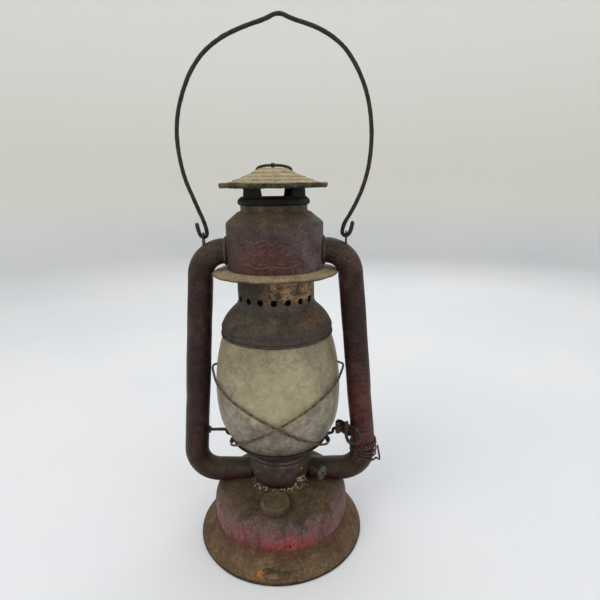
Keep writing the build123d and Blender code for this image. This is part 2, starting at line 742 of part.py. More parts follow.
ring_points = [
    ring_point(0.05, 0), ring_point(6.0, 0), ring_point(12.6, 4.0), ring_point(16.0, 11.0),
    ring_point(16.2, 18.6), ring_point(12.4, 25.6), ring_point(4.6, 29.8), ring_point(-4.6, 29.8),
    ring_point(-12.4, 25.6), ring_point(-16.2, 18.6), ring_point(-16.0, 11.0),
    ring_point(-12.6, 4.0), ring_point(-6.0, 0), ring_point(-0.05, 0),
]
with BuildPart() as lift_ring:
    with BuildLine() as ring_path:
        FilletPolyline(*ring_points, radius=bend_radii(ring_points))
    with BuildSketch(Plane(origin=ring_path.line @ 0, z_dir=ring_path.line % 0)):
        Circle(ring_wire_r)
    sweep(path=ring_path.line)
lift_ring.part.label = "lift_ring"

spring_r = 32.6
spring_wire_r = 0.8
with BuildPart() as chimney_spring:
    with BuildLine() as spring_path:
        Helix(pitch=8.2, height=43.0, radius=spring_r, center=(0, 0, 285.4))
    with BuildSketch(Plane(origin=spring_path.line @ 0, z_dir=spring_path.line % 0)):
        Circle(spring_wire_r)
    sweep(path=spring_path.line, is_frenet=True)
chimney_spring.part.label = "chimney_spring"

# -------------------------------------------------------------------- export
pieces = {
    "foot_ring": foot_ring, "font_tank": font_tank, "font_bottom": font_bottom,
    "filler_neck": filler_neck, "filler_gasket": filler_gasket, "filler_cap": filler_cap,
    "collar": collar, "burner_seat": collar_foot, "burner_body": burner_body,
    "wick_tube": wick_tube, "wick": wick, "wick_spindle": wick_spindle,
    "ratchet_wheels": ratchet_wheels, "wick_knob": wick_knob, "air_strainer": air_strainer,
    "burner_cone": burner_cone, "left_tube": left_tube, "right_tube": right_tube,
    "hood": hood, "rain_guard": rain_guard, "nozzle_rings": nozzle_rings,
    "left_ear": left_ear, "right_ear": right_ear, "bail": bail, "globe": globe,
    "globe_plate": globe_plate, "guard_wire_inner": guard_wire_inner,
    "guard_wire_outer": guard_wire_outer, "lift_crank": lift_crank,
    "crank_bearing": crank_bearing, "lever_bracket": lever_bracket,
    "bracket_rivet": bracket_rivet, "pivot_bush": pivot_bush, "repair_wire": repair_wire,
    "bell": bell, "flue": flue, "vent_band": vent_band, "chimney_cap": chimney_cap,
    "ring_lug": ring_lug, "lift_ring": lift_ring, "chimney_spring": chimney_spring,
}
for name, piece in pieces.items():
    piece.part.label = name
    export_step(piece.part, f"parts/{name}.step")
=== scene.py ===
import math
import random

import bmesh
import bpy
import numpy as np
from mathutils import Matrix, Vector


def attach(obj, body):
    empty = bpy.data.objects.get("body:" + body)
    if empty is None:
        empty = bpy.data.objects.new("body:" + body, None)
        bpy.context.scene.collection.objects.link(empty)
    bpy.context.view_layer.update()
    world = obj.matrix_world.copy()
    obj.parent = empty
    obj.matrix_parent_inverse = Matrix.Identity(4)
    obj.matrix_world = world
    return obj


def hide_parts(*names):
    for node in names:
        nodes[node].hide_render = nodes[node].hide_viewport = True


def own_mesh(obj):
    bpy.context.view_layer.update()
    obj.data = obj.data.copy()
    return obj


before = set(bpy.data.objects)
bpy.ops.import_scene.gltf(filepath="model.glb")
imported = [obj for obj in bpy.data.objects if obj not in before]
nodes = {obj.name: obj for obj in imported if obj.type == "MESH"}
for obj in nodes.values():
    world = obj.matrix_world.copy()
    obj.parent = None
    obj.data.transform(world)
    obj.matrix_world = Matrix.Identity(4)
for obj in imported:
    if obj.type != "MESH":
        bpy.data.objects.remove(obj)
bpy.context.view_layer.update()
MM = 0.001
scene = bpy.context.scene
scene.view_settings.view_transform = "Standard"
scene.view_settings.look = "None"
scene.view_settings.exposure = 0.0

ROOT = "lantern_body"


# ------------------------------------------------------------------ node trees
def lin(c):
    """8-bit display colour to linear RGBA."""
    out = []
    for v in c:
        v = v / 255.0
        out.append(v / 12.92 if v <= 0.04045 else ((v + 0.055) / 1.055) ** 2.4)
    return (*out, 1.0)


class Tree:
    """Short names for the shader nodes that the finishes are made of."""

    def __init__(self, name):
        self.mat = bpy.data.materials.new(name)
        self.mat.use_nodes = True
        self.t = self.mat.node_tree
        self.t.nodes.clear()
        self.out = self.t.nodes.new("ShaderNodeOutputMaterial")
        self.co = self.t.nodes.new("ShaderNodeTexCoord").outputs["Object"]
        self.geo = self.t.nodes.new("ShaderNodeNewGeometry")
        sep = self.t.nodes.new("ShaderNodeSeparateXYZ")
        self.t.links.new(self.co, sep.inputs[0])
        self.x, self.y, self.z = sep.outputs[0], sep.outputs[1], sep.outputs[2]
        sepn = self.t.nodes.new("ShaderNodeSeparateXYZ")
        self.t.links.new(self.geo.outputs["Normal"], sepn.inputs[0])
        self.nz = sepn.outputs[2]

    def put(self, socket, value):
        if isinstance(value, bpy.types.NodeSocket):
            self.t.links.new(value, socket)
        else:
            socket.default_value = value

    def math(self, op, a, b=0.0, clamp=False):
        n = self.t.nodes.new("ShaderNodeMath")
        n.operation = op
        n.use_clamp = clamp
        self.put(n.inputs[0], a)
        self.put(n.inputs[1], b)
        return n.outputs[0]

    def stretch(self, sx, sy, sz):
        n = self.t.nodes.new("ShaderNodeMapping")
        self.t.links.new(self.co, n.inputs["Vector"])
        n.inputs["Scale"].default_value = (sx, sy, sz)
        return n.outputs[0]

    def noise(self, scale, detail=5.0, rough=0.6, distort=0.0, vec=None, w=None):
        n = self.t.nodes.new("ShaderNodeTexNoise")
        self.t.links.new(vec or self.co, n.inputs["Vector"])
        if w is not None:
            n.noise_dimensions = "4D"
            n.inputs["W"].default_value = w
        n.inputs["Scale"].default_value = scale
        n.inputs["Detail"].default_value = detail
        n.inputs["Roughness"].default_value = rough
        n.inputs["Distortion"].default_value = distort
        return n.outputs[0]

    def voronoi(self, scale, feature="F1", rand=1.0, vec=None):
        n = self.t.nodes.new("ShaderNodeTexVoronoi")
        n.feature = feature
        self.t.links.new(vec or self.co, n.inputs["Vector"])
        n.inputs["Scale"].default_value = scale
        n.inputs["Randomness"].default_value = rand
        return n.outputs[0]

    def span(self, v, a, b, c=0.0, d=1.0):
        """v from a..b taken smoothly to c..d."""
        n = self.t.nodes.new("ShaderNodeMapRange")
        n.interpolation_type = "SMOOTHSTEP"
        n.clamp = True
        self.put(n.inputs[0], v)
        if a <= b:
            n.inputs[1].default_value, n.inputs[2].default_value = a, b
            n.inputs[3].default_value, n.inputs[4].default_value = c, d
        else:
            n.inputs[1].default_value, n.inputs[2].default_value = b, a
            n.inputs[3].default_value, n.inputs[4].default_value = d, c
        return n.outputs[0]

    def mul(self, *v):
        out = v[0]
        for k in v[1:]:
            out = self.math("MULTIPLY", out, k)
        return out

    def mix(self, fac, a, b, mode="MIX"):
        n = self.t.nodes.new("ShaderNodeMix")
        n.data_type = "RGBA"
        n.blend_type = mode
        n.clamp_factor = True
        self.put(n.inputs[0], fac)
        self.put(n.inputs[6], lin(a) if isinstance(a, tuple) and len(a) == 3 else a)
        self.put(n.inputs[7], lin(b) if isinstance(b, tuple) and len(b) == 3 else b)
        return n.outputs[2]

    def spot(self, centre, radii, fray=0.35, scale=90.0, soft=0.45):
        """1 inside an uneven patch about a point (mm), 0 outside it."""
        sub = self.t.nodes.new("ShaderNodeVectorMath")
        sub.operation = "SUBTRACT"
        self.t.links.new(self.co, sub.inputs[0])
        sub.inputs[1].default_value = tuple(c * MM for c in centre)
        div = self.t.nodes.new("ShaderNodeVectorMath")
        div.operation = "DIVIDE"
        self.t.links.new(sub.outputs[0], div.inputs[0])
        div.inputs[1].default_value = tuple(r * MM for r in radii)
        length = self.t.nodes.new("ShaderNodeVectorMath")
        length.operation = "LENGTH"
        self.t.links.new(div.outputs[0], length.inputs[0])
        frayed = self.math(
            "ADD",
            length.outputs["Value"],
            self.span(self.noise(scale, 6.0, 0.7), 0.2, 0.8, -fray, fray),
        )
        return self.span(frayed, 1.0 - soft / 2, 1.0 + soft / 2, 1.0, 0.0)

    def bump(self, height, strength, distance, normal=None):
        n = self.t.nodes.new("ShaderNodeBump")
        n.inputs["Strength"].default_value = strength
        n.inputs["Distance"].default_value = distance
        self.t.links.new(height, n.inputs["Height"])
        if normal is not None:
            self.t.links.new(normal, n.inputs["Normal"])
        return n.outputs[0]

    def shade(self, colour, rough, normal=None, metallic=0.0, specular=0.4, **more):
        p = self.t.nodes.new("ShaderNodeBsdfPrincipled")
        self.put(p.inputs["Base Color"], colour)
        self.put(p.inputs["Roughness"], rough)
        self.put(p.inputs["Metallic"], metallic)
        p.inputs["Specular IOR Level"].default_value = specular
        for key, value in more.items():
            self.put(p.inputs[key.replace("_", " ")], value)
        if normal is not None:
            self.t.links.new(normal, p.inputs["Normal"])
        self.t.links.new(p.outputs[0], self.out.inputs["Surface"])
        return self.mat


def enamel(
    name,
    light,
    dark,
    grime,
    dust,
    rust=(96, 58, 36),
    grime_at=(0.42, 0.62),
    dust_up=0.75,
    dust_all=0.15,
    rust_at=(0.66, 0.74),
    rough=(0.42, 0.72),
    bump=0.35,
    specular=0.25,
    paint_metal=0.0,
    patches=(),
    over=None,
    scale=1.0,
    grain=(0.62, 1.36),
    blotch=0.45,
    up_at=(0.15, 0.85),
):
    """Old stamped tin: two-tone coat, streaked grime, rust bloom, dust on what faces up."""
    T = Tree(name)
    big = T.noise(28.0 * scale, 6.0, 0.62, 0.4)
    mid = T.noise(120.0 * scale, 8.0, 0.72)
    fine = T.noise(900.0 * scale, 6.0, 0.65)
    streak = T.noise(1.0, 5.0, 0.6, vec=T.stretch(260.0, 260.0, 34.0))
    col = T.mix(T.span(mid, 0.4, 0.6), dark, light)
    col = T.mix(T.mul(T.span(streak, 0.48, 0.66), 0.6), col, dark)
    g = T.span(big, grime_at[0], grime_at[1])
    g = T.mul(g, T.span(fine, 0.25, 0.6, 0.55, 1.0))
    col = T.mix(g, col, grime)
    r = T.span(T.noise(46.0 * scale, 9.0, 0.74, 0.7, w=3.7), rust_at[0], rust_at[1])
    r_col = T.mix(T.span(fine, 0.35, 0.65), tuple(int(c * 0.55) for c in rust), rust)
    col = T.mix(r, col, r_col)
    pits = T.span(T.voronoi(520.0 * scale), 0.08, 0.2, 1.0, 0.0)
    pits = T.mul(pits, T.span(mid, 0.5, 0.6))
    col = T.mix(T.mul(pits, 0.85), col, tuple(int(c * 0.4) for c in grime))
    for centre, radii, colour, strength in patches:
        col = T.mix(T.mul(T.spot(centre, radii), strength), col, colour)
    if over is not None:
        col = over(T, col, mid, fine)
    up = T.mul(T.span(T.nz, up_at[0], up_at[1]), T.span(mid, 0.3, 0.6, 0.55, 1.0), dust_up)
    allround = T.mul(T.span(T.noise(75.0 * scale, 8.0, 0.7, w=8.1), 0.45, 0.7), dust_all)
    d = T.math("MAXIMUM", up, allround)
    d_col = T.mix(T.span(fine, 0.3, 0.7), tuple(int(c * 0.78) for c in dust), dust)
    col = T.mix(d, col, d_col)
    # grain and blotches: the coat is lighter and darker from one millimetre to the next
    g1 = T.span(T.noise(430.0, 8.0, 0.78, w=6.6), 0.36, 0.64, grain[0], grain[1])
    g2 = T.span(T.noise(62.0 * scale, 9.0, 0.76, 0.5, w=1.3), 0.5, 0.64, 1.0, 1.0 - blotch)
    col = T.mix(1.0, col, T.math("MULTIPLY", g1, g2), "MULTIPLY")
    flecks = T.mul(T.span(T.voronoi(240.0), 0.03, 0.09, 1.0, 0.0), T.span(T.noise(90.0, 4.0, 0.6, w=9.9), 0.52, 0.6))
    col = T.mix(T.mul(flecks, 0.6), col, tuple(min(255, int(c * 1.25) + 18) for c in dust))
    ro = T.span(mid, 0.3, 0.7, rough[0], rough[1])
    ro = T.math("ADD", ro, T.mul(T.math("MAXIMUM", T.math("MAXIMUM", d, r), g), 0.22), clamp=True)
    h = T.math("ADD", T.mul(fine, 0.5), T.mul(mid, 1.2))
    h = T.math("ADD", h, T.mul(T.math("ADD", r, pits), -0.5))
    h = T.math("ADD", h, T.mul(g1, 0.35))
    n = T.bump(h, bump, 0.0006)
    n = T.bump(T.noise(3200.0, 3.0, 0.6), bump * 0.5, 0.00012, n)
    return T.shade(col, ro, n, paint_metal, specular)


def raw_metal(name, light, dark, rust, rust_at=(0.5, 0.66), metallic=0.55, rough=(0.4, 0.75), bump=0.4, scale=1.0, dust=None):
    """Bare or tarnished metal with oxide bloom."""
    T = Tree(name)
    mid = T.noise(150.0 * scale, 7.0, 0.68)
    fine = T.noise(1100.0 * scale, 6.0, 0.66)
    col = T.mix(T.span(mid, 0.4, 0.6), dark, light)
    r = T.span(T.noise(70.0 * scale, 9.0, 0.75, 0.6, w=1.9), rust_at[0], rust_at[1])
    col = T.mix(r, col, T.mix(T.span(fine, 0.35, 0.65), tuple(int(c * 0.6) for c in rust), rust))
    m = T.math("MULTIPLY", T.span(r, 0.0, 1.0, 1.0, 0.1), metallic)
    ro = T.math("ADD", T.span(mid, 0.3, 0.7, rough[0], rough[1]), T.mul(r, 0.2), clamp=True)
    if dust is not None:
        d = T.mul(T.span(T.nz, 0.1, 0.8), T.span(mid, 0.32, 0.6, 0.4, 1.0), 0.8)
        col = T.mix(d, col, dust)
        m = T.math("MULTIPLY", m, T.span(d, 0.0, 1.0, 1.0, 0.1))
        ro = T.math("ADD", ro, T.mul(d, 0.2), clamp=True)
    col = T.mix(1.0, col, T.span(T.noise(520.0, 7.0, 0.75, w=2.2), 0.36, 0.64, 0.66, 1.32), "MULTIPLY")
    n = T.bump(T.math("ADD", T.mul(fine, 0.7), mid), bump, 0.0003)
    return T.shade(col, ro, n, m, 0.35)


def radius(T):
    return T.math("SQRT", T.math("ADD", T.mul(T.x, T.x), T.mul(T.y, T.y)))


def foot_over(T, col, mid, fine):
    r = radius(T)
    # darker, redder colour in the corner by the tank, dark line along the rim
    inner = T.mul(T.span(T.math("ADD", r, T.span(mid, 0.3, 0.7, -0.003, 0.003)), 0.0745, 0.0700), 0.65)
    col = T.mix(inner, col, (92, 58, 46))
    rim = T.span(r, 0.0838, 0.0848)
    col = T.mix(T.mul(rim, 0.85), col, (40, 32, 24))
    # chipped rust scar on the front of the rim
    wide = T.spot((-6.0, -79.0, 6.0), (16.0, 8.0, 4.6), 0.9, 240.0, 0.25)
    col = T.mix(T.mul(wide, 0.5), col, (62, 50, 34))
    dark = T.spot((-6.5, -76.6, 9.4), (6.4, 4.0, 2.0), 0.9, 330.0, 0.15)
    col = T.mix(dark, col, (34, 25, 18))
    dark2 = T.spot((4.5, -78.0, 7.6), (9.0, 4.0, 1.4), 1.1, 330.0, 0.15)
    col = T.mix(T.mul(dark2, 0.9), col, (40, 30, 21))
    pale = T.spot((-5.0, -79.4, 6.6), (5.0, 3.0, 1.6), 0.7, 300.0, 0.2)
    col = T.mix(T.mul(pale, 0.85), col, (122, 94, 76))
    orange = T.spot((-16.5, -79.0, 6.4), (3.8, 4.0, 2.1), 0.95, 300.0, 0.2)
    col = T.mix(T.mul(orange, 0.9), col, (168, 108, 42))
    orange2 = T.spot((-21.0, -78.5, 4.6), (6.0, 5.0, 1.1), 0.9, 300.0, 0.25)
    col = T.mix(T.mul(orange2, 0.6), col, (126, 84, 42))
    # red shows through at the right of the flare
    red = T.spot((62.0, -40.0, 13.0), (14.0, 16.0, 6.0), 0.7, 80.0, 0.7)
    return T.mix(T.mul(red, 0.35), col, (110, 66, 56))


def font_over(T, col, mid, fine):
    wob = T.span(T.noise(40.0, 6.0, 0.65), 0.25, 0.75, -0.005, 0.005)
    z = T.math("ADD", T.z, wob)
    streak = T.noise(1.0, 6.0, 0.68, vec=T.stretch(230.0, 230.0, 40.0))
    # lilac-grey bloom over the shoulder, then the worn pink-red wall below it
    lilac = T.mul(T.span(z, 0.030, 0.040), T.span(z, 0.0545, 0.0485))
    col = T.mix(T.mul(lilac, T.span(mid, 0.38, 0.58, 0.5, 0.95)), col, (104, 84, 82))
    band = T.span(z, 0.0475, 0.0385)
    pink = T.mix(T.span(streak, 0.4, 0.6), (102, 60, 58), (134, 78, 76))
    pink = T.mix(T.mul(T.span(T.noise(70.0, 7.0, 0.7, w=3.0), 0.46, 0.6), 0.75), pink, (112, 86, 84))
    col = T.mix(T.mul(band, T.span(fine, 0.25, 0.55, 0.7, 1.0)), col, pink)
    bright = T.spot((14.0, -67.0, 28.0), (25.0, 16.0, 7.5), 0.6, 60.0, 0.9)
    col = T.mix(T.mul(bright, band, T.span(streak, 0.38, 0.56, 0.35, 0.9)), col, (152, 68, 68))
    wine = T.spot((-22.0, -64.0, 24.0), (26.0, 18.0, 6.0), 0.6, 60.0, 0.9)
    col = T.mix(T.mul(wine, band, 0.6), col, (106, 50, 50))
    # painted sheen: the wall is lighter and greyer at the left and the right, where it curves away
    side_sheen = T.mul(T.span(T.math("ABSOLUTE", T.x), 0.036, 0.056), T.span(mid, 0.36, 0.6, 0.2, 0.85), band)
    col = T.mix(side_sheen, col, (122, 98, 94))
    low = T.mul(T.span(z, 0.0235, 0.0185), 0.75)
    col = T.mix(low, col, (86, 56, 44))
    mark = T.spot((11.0, -68.0, 28.0), (1.0, 2.5, 2.0), 0.3, 200.0, 0.4)
    col = T.mix(mark, col, (40, 26, 24))
    specks = T.mul(T.span(T.voronoi(210.0), 0.05, 0.16, 1.0, 0.0), T.span(mid, 0.42, 0.6))
    return T.mix(T.mul(specks, 0.75), col, (48, 34, 28))


def tube_over(T, col, mid, fine):
    wob = T.span(T.noise(30.0, 5.0, 0.6), 0.25, 0.75, -0.02, 0.02)
    z = T.math("ADD", T.z, wob)
    ax = T.math("ABSOLUTE", T.x)
    # grey-brown grime over the upper bends
    top = T.mul(T.span(z, 0.268, 0.298), T.span(T.noise(60.0, 7.0, 0.72, w=5.0), 0.42, 0.58, 0.3, 0.9))
    col = T.mix(top, col, (70, 58, 44))
    # pale and maroon patches down the legs
    pale = T.mul(T.span(T.noise(38.0, 7.0, 0.7, 0.4, w=7.0), 0.52, 0.62), 0.55)
    col = T.mix(pale, col, (74, 50, 47))
    # redder low on the legs, on the right one above all
    right = T.mul(T.span(T.x, 0.04, 0.075), T.span(z, 0.205, 0.135), T.span(z, 0.06, 0.10))
    right = T.mul(right, T.span(mid, 0.38, 0.6, 0.3, 0.85))
    col = T.mix(right, col, (96, 50, 45))
    under = T.mul(T.span(z, 0.068, 0.052), T.span(ax, 0.030, 0.045), T.span(mid, 0.36, 0.6, 0.4, 0.95))
    col = T.mix(under, col, (92, 32, 32))
    # olive dirt on the low horizontal runs
    run = T.mul(T.span(T.nz, -0.35, 0.5), T.span(T.z, 0.092, 0.078), T.span(ax, 0.088, 0.07))
    col = T.mix(T.mul(run, 0.9), col, (58, 48, 34))
    # painted shade: a dark line just below the beads at 191 and 115 mm, round the outer part of each leg
    ring = T.math("MAXIMUM",
                  T.span(T.math("ABSOLUTE", T.math("SUBTRACT", T.z, 0.1893)), 0.0012, 0.0003),
                  T.span(T.math("ABSOLUTE", T.math("SUBTRACT", T.z, 0.1135)), 0.0012, 0.0003))
    return T.mix(T.mul(ring, T.span(ax, 0.070, 0.074), 0.7), col, (22, 15, 14))


def hood_over(T, col, mid, fine):
    # olive dust over the shoulder, lilac bloom on the right, red worn through at the front
    wob = T.span(T.noise(45.0, 6.0, 0.65), 0.25, 0.75, -0.004, 0.004)
    z = T.math("ADD", T.z, wob)
    sh = T.mul(T.span(z, 0.3195, 0.3235), 0.9)
    red = T.spot((-6.0, -45.0, 293.0), (24.0, 22.0, 12.0), 0.9, 70.0, 0.9)
    col = T.mix(T.mul(red, 0.5), col, (98, 48, 46))
    low = T.mul(T.spot((-4.0, -45.0, 284.5), (34.0, 25.0, 5.0), 0.7, 70.0, 0.8), 0.5)
    col = T.mix(low, col, (96, 52, 48))
    lilac = T.mul(T.span(T.x, 0.004, 0.034), T.span(T.noise(70.0, 8.0, 0.74, w=2.0), 0.42, 0.58, 0.25, 0.9))
    col = T.mix(lilac, col, (104, 89, 90))
    streak = T.noise(1.0, 6.0, 0.7, vec=T.stretch(190.0, 190.0, 26.0))
    col = T.mix(T.mul(T.span(streak, 0.52, 0.62), 0.5), col, (54, 40, 38))
    up = T.mul(T.span(z, 0.307, 0.3205), T.span(mid, 0.4, 0.58, 0.1, 0.7))
    col = T.mix(up, col, (76, 62, 58))
    # lighter on the raised ornament: paint rubbed off and dust caught there, and a painted highlight along the ridges
    proud_wear_and_highlight = T.math("MULTIPLY", T.span(radius(T), 0.04505, 0.04550), T.mul(T.span(T.y, 0.0, -0.02), T.span(T.z, 0.3140, 0.3120)))
    col = T.mix(T.mul(proud_wear_and_highlight, T.span(mid, 0.35, 0.6, 0.15, 0.6)), col, (94, 72, 67))
    col = T.mix(sh, col, T.mix(T.span(mid, 0.4, 0.6), (52, 44, 34), (86, 74, 56)))
    neck = T.mul(T.span(T.z, 0.3308, 0.3325), 0.85)
    return T.mix(neck, col, T.mix(T.span(T.noise(90.0, 8.0, 0.74, w=8.8), 0.42, 0.58), (58, 46, 36), (100, 72, 56)))


def bell_over(T, col, mid, fine):
    n1 = T.noise(55.0, 9.0, 0.74, 0.8, w=6.0)
    n2 = T.noise(120.0, 9.0, 0.76, 0.6, w=4.0)
    # greyer lower band, browner dome above it
    low = T.mul(T.span(T.z, 0.2335, 0.2285), T.span(mid, 0.36, 0.6, 0.4, 0.9))
    col = T.mix(low, col, (64, 58, 54))
    brown = T.mul(T.span(T.x, -0.005, 0.035), T.span(T.z, 0.226, 0.236), T.span(T.z, 0.258, 0.249))
    col = T.mix(T.mul(brown, T.span(n2, 0.42, 0.58, 0.05, 0.9)), col, (100, 72, 50))
    blue = T.mul(T.span(T.z, 0.243, 0.2475), T.span(T.z, 0.2535, 0.2505), T.span(n1, 0.4, 0.6, 0.2, 0.85))
    col = T.mix(blue, col, (74, 74, 76))
    # tan rust high on the neck at the right of the front, ragged and streaked
    neck = T.mul(T.span(T.z, 0.2505, 0.2565), T.span(T.x, -0.018, 0.004))
    neck = T.mul(neck, T.span(n2, 0.42, 0.5))
    col = T.mix(neck, col, T.mix(T.span(fine, 0.3, 0.7), (136, 106, 76), (184, 146, 110)))
    scorch = T.mul(T.span(T.noise(1.0, 7.0, 0.72, vec=T.stretch(70.0, 70.0, 210.0)), 0.5, 0.58), T.span(T.z, 0.2505, 0.2545))
    col = T.mix(T.mul(scorch, 0.75), col, (60, 48, 40))
    soot = T.mul(T.span(T.x, 0.004, -0.02), T.span(T.z, 0.2555, 0.262))
    col = T.mix(T.mul(soot, 0.8), col, (68, 57, 53))
    # dark rolled edge with a painted highlight line along it
    edge = T.span(T.z, 0.2212, 0.2204)
    col = T.mix(T.mul(edge, 0.9), col, (40, 34, 28))
    rim_highlight = T.mul(T.span(T.math("ABSOLUTE", T.math("SUBTRACT", T.z, 0.2191)), 0.0006, 0.0002), T.span(mid, 0.4, 0.55))
    return T.mix(T.mul(rim_highlight, 0.6), col, (120, 108, 84))


def cap_over(T, col, mid, fine):
    r = radius(T)
    rings = T.math("SINE", T.mul(T.z, 2100.0))
    col = T.mix(T.mul(T.span(rings, 0.1, 0.9), T.span(mid, 0.4, 0.58, 0.15, 0.65)), col, (104, 90, 62))
    # painted shade: dark broken lines under each step
    n = T.noise(85.0, 8.0, 0.74, w=5.5)
    steps = T.math("MAXIMUM",
                   T.math("MAXIMUM",
                          T.span(T.math("ABSOLUTE", T.math("SUBTRACT", r, 0.0207)), 0.0010, 0.0003),
                          T.span(T.math("ABSOLUTE", T.math("SUBTRACT", r, 0.0297)), 0.0010, 0.0003)),
                   T.math("MAXIMUM",
                          T.span(T.math("ABSOLUTE", T.math("SUBTRACT", r, 0.0370)), 0.0009, 0.0003),
                          T.span(T.math("ABSOLUTE", T.math("SUBTRACT", r, 0.0135)), 0.0009, 0.0003)))
    col = T.mix(T.mul(steps, T.span(n, 0.44, 0.56), 0.85), col, (62, 52, 36))
    bare = T.span(T.noise(70.0, 9.0, 0.76, 0.6, w=2.7), 0.57, 0.63)
    col = T.mix(T.mul(bare, 0.7), col, (96, 84, 60))
    # painted shade: the faces that turn downward are dark
    under = T.span(T.nz, -0.05, -0.4)
    col = T.mix(under, col, (46, 39, 30))
    edge = T.span(T.math("ADD", r, T.span(n, 0.35, 0.65, -0.0014, 0.0014)), 0.0436, 0.0450)
    return T.mix(T.mul(edge, 0.95), col, T.mix(T.span(mid, 0.4, 0.6), (34, 31, 22), (70, 64, 48)))


def guard_over(T, col, mid, fine):
    r = radius(T)
    # painted shade: the faces that turn downward are dark
    under = T.span(T.nz, -0.05, -0.5)
    col = T.mix(under, col, (46, 40, 32))
    chips = T.span(T.noise(160.0, 8.0, 0.75, w=4.4), 0.56, 0.62)
    col = T.mix(T.mul(chips, 0.8), col, (76, 62, 42))
    edge = T.span(T.math("ADD", r, T.span(mid, 0.35, 0.65, -0.0012, 0.0012)), 0.0570, 0.0580)
    col = T.mix(T.mul(edge, 0.7), col, (70, 58, 40))
    # painted shade: darker next to the foot of the hood
    by_hood = T.span(r, 0.0468, 0.0452)
    return T.mix(T.mul(by_hood, 0.7), col, (62, 48, 38))


def collar_over(T, col, mid, fine):
    low = T.mul(T.span(T.z, 0.074, 0.064), T.span(mid, 0.3, 0.6, 0.5, 1.0))
    col = T.mix(low, col, (60, 40, 36))
    rusty = T.spot((24.0, -20.0, 80.0), (7.0, 9.0, 8.0), 0.8, 150.0, 0.4)
    col = T.mix(T.mul(rusty, 0.8), col, (84, 58, 42))
    # painted shade: dark lines in the two grooves
    groove = T.math("MAXIMUM",
                    T.span(T.math("ABSOLUTE", T.math("SUBTRACT", T.z, 0.0886)), 0.0012, 0.0004),
                    T.span(T.math("ABSOLUTE", T.math("SUBTRACT", T.z, 0.0934)), 0.0012, 0.0004))
    # painted highlight: light lines along the ridges by the grooves
    ridge = T.math("MAXIMUM",
                   T.span(T.math("ABSOLUTE", T.math("SUBTRACT", T.z, 0.0910)), 0.0010, 0.0003),
                   T.span(T.math("ABSOLUTE", T.math("SUBTRACT", T.z, 0.0868)), 0.0009, 0.0003))
    col = T.mix(T.mul(ridge, T.span(mid, 0.42, 0.58, 0.1, 0.6)), col, (112, 96, 86))
    return T.mix(T.mul(groove, 0.85), col, (28, 22, 20))


M = {}
M["foot_tin"] = enamel("foot_tin", (116, 95, 70), (90, 72, 53), (76, 61, 45), (120, 100, 76), rust=(92, 62, 38),
                       dust_up=0.35, dust_all=0.5, rough=(0.66, 0.88), bump=0.5, over=foot_over, specular=0.2, blotch=0.35)
M["tank_tin"] = enamel("tank_tin", (98, 80, 58), (72, 58, 41), (60, 48, 35), (100, 82, 60), rust=(82, 54, 36),
                       dust_up=0.35, dust_all=0.35, rough=(0.58, 0.82), bump=0.5, over=font_over, specular=0.22, blotch=0.4)
M["cap_tin"] = enamel("cap_tin", (114, 95, 69), (88, 72, 52), (70, 57, 42), (120, 102, 74), dust_up=0.3,
                      dust_all=0.35, rough=(0.5, 0.8), bump=0.6, specular=0.25)
M["painted_tin"] = enamel("painted_tin", (68, 38, 35), (38, 21, 19), (42, 30, 24), (76, 61, 46), rust=(74, 44, 34),
                          dust_up=0.45, dust_all=0.10, rough=(0.30, 0.52), bump=0.38, over=tube_over, specular=0.22,
                          grain=(0.52, 1.5), blotch=0.5, up_at=(0.45, 0.95))
M["collar_tin"] = enamel("collar_tin", (86, 68, 61), (58, 45, 40), (56, 46, 39), (98, 82, 66), rust=(82, 54, 38),
                         dust_up=0.4, dust_all=0.2, rough=(0.4, 0.66), bump=0.4, over=collar_over, specular=0.25)
M["hood_enamel"] = enamel("hood_enamel", (84, 58, 56), (58, 41, 40), (60, 49, 45), (94, 80, 60), rust=(88, 58, 44),
                          dust_up=0.55, dust_all=0.12, rough=(0.42, 0.66), bump=0.4, over=hood_over, specular=0.25,
                          grain=(0.64, 1.36), blotch=0.4)
M["dusty_cap"] = enamel("dusty_cap", (176, 160, 128), (134, 119, 90), (104, 88, 62), (194, 178, 146), rust=(104, 78, 50),
                        grime_at=(0.5, 0.66), dust_up=0.5, dust_all=0.3, rough=(0.72, 0.92), bump=0.6, over=cap_over,
                        specular=0.15, grain=(0.7, 1.26), blotch=0.3)
M["dusty_guard"] = enamel("dusty_guard", (168, 149, 118), (132, 114, 86), (104, 86, 62), (168, 150, 120), rust=(100, 72, 46),
                          grime_at=(0.46, 0.66), dust_up=0.55, dust_all=0.3, rough=(0.68, 0.9), bump=0.5, over=guard_over,
                          specular=0.18, blotch=0.4)
M["bell_tin"] = enamel("bell_tin", (88, 77, 61), (60, 52, 43), (64, 56, 47), (94, 83, 66), rust=(104, 74, 50),
                       grime_at=(0.45, 0.65), dust_up=0.2, dust_all=0.25, rough=(0.5, 0.78), bump=0.55,
                       over=bell_over, specular=0.25, paint_metal=0.1)
M["plate_tin"] = enamel("plate_tin", (58, 49, 40), (38, 32, 27), (42, 36, 30), (74, 62, 48), rust=(84, 56, 40),
                        dust_up=0.3, dust_all=0.15, rough=(0.5, 0.78), bump=0.5, specular=0.25)
M["vent_tin"] = enamel("vent_tin", (28, 26, 22), (14, 13, 12), (17, 16, 14), (54, 47, 37), rust=(60, 44, 32),
                       dust_up=0.3, dust_all=0.08, rough=(0.45, 0.75), bump=0.5, specular=0.22)
M["inner_tin"] = raw_metal("inner_tin", (84, 74, 62), (50, 43, 37), (84, 58, 40), dust=(80, 70, 54), metallic=0.35)
M["burner_brass"] = raw_metal("burner_brass", (122, 98, 56), (74, 58, 34), (62, 56, 42), metallic=0.7, rough=(0.35, 0.6), dust=(88, 76, 56))
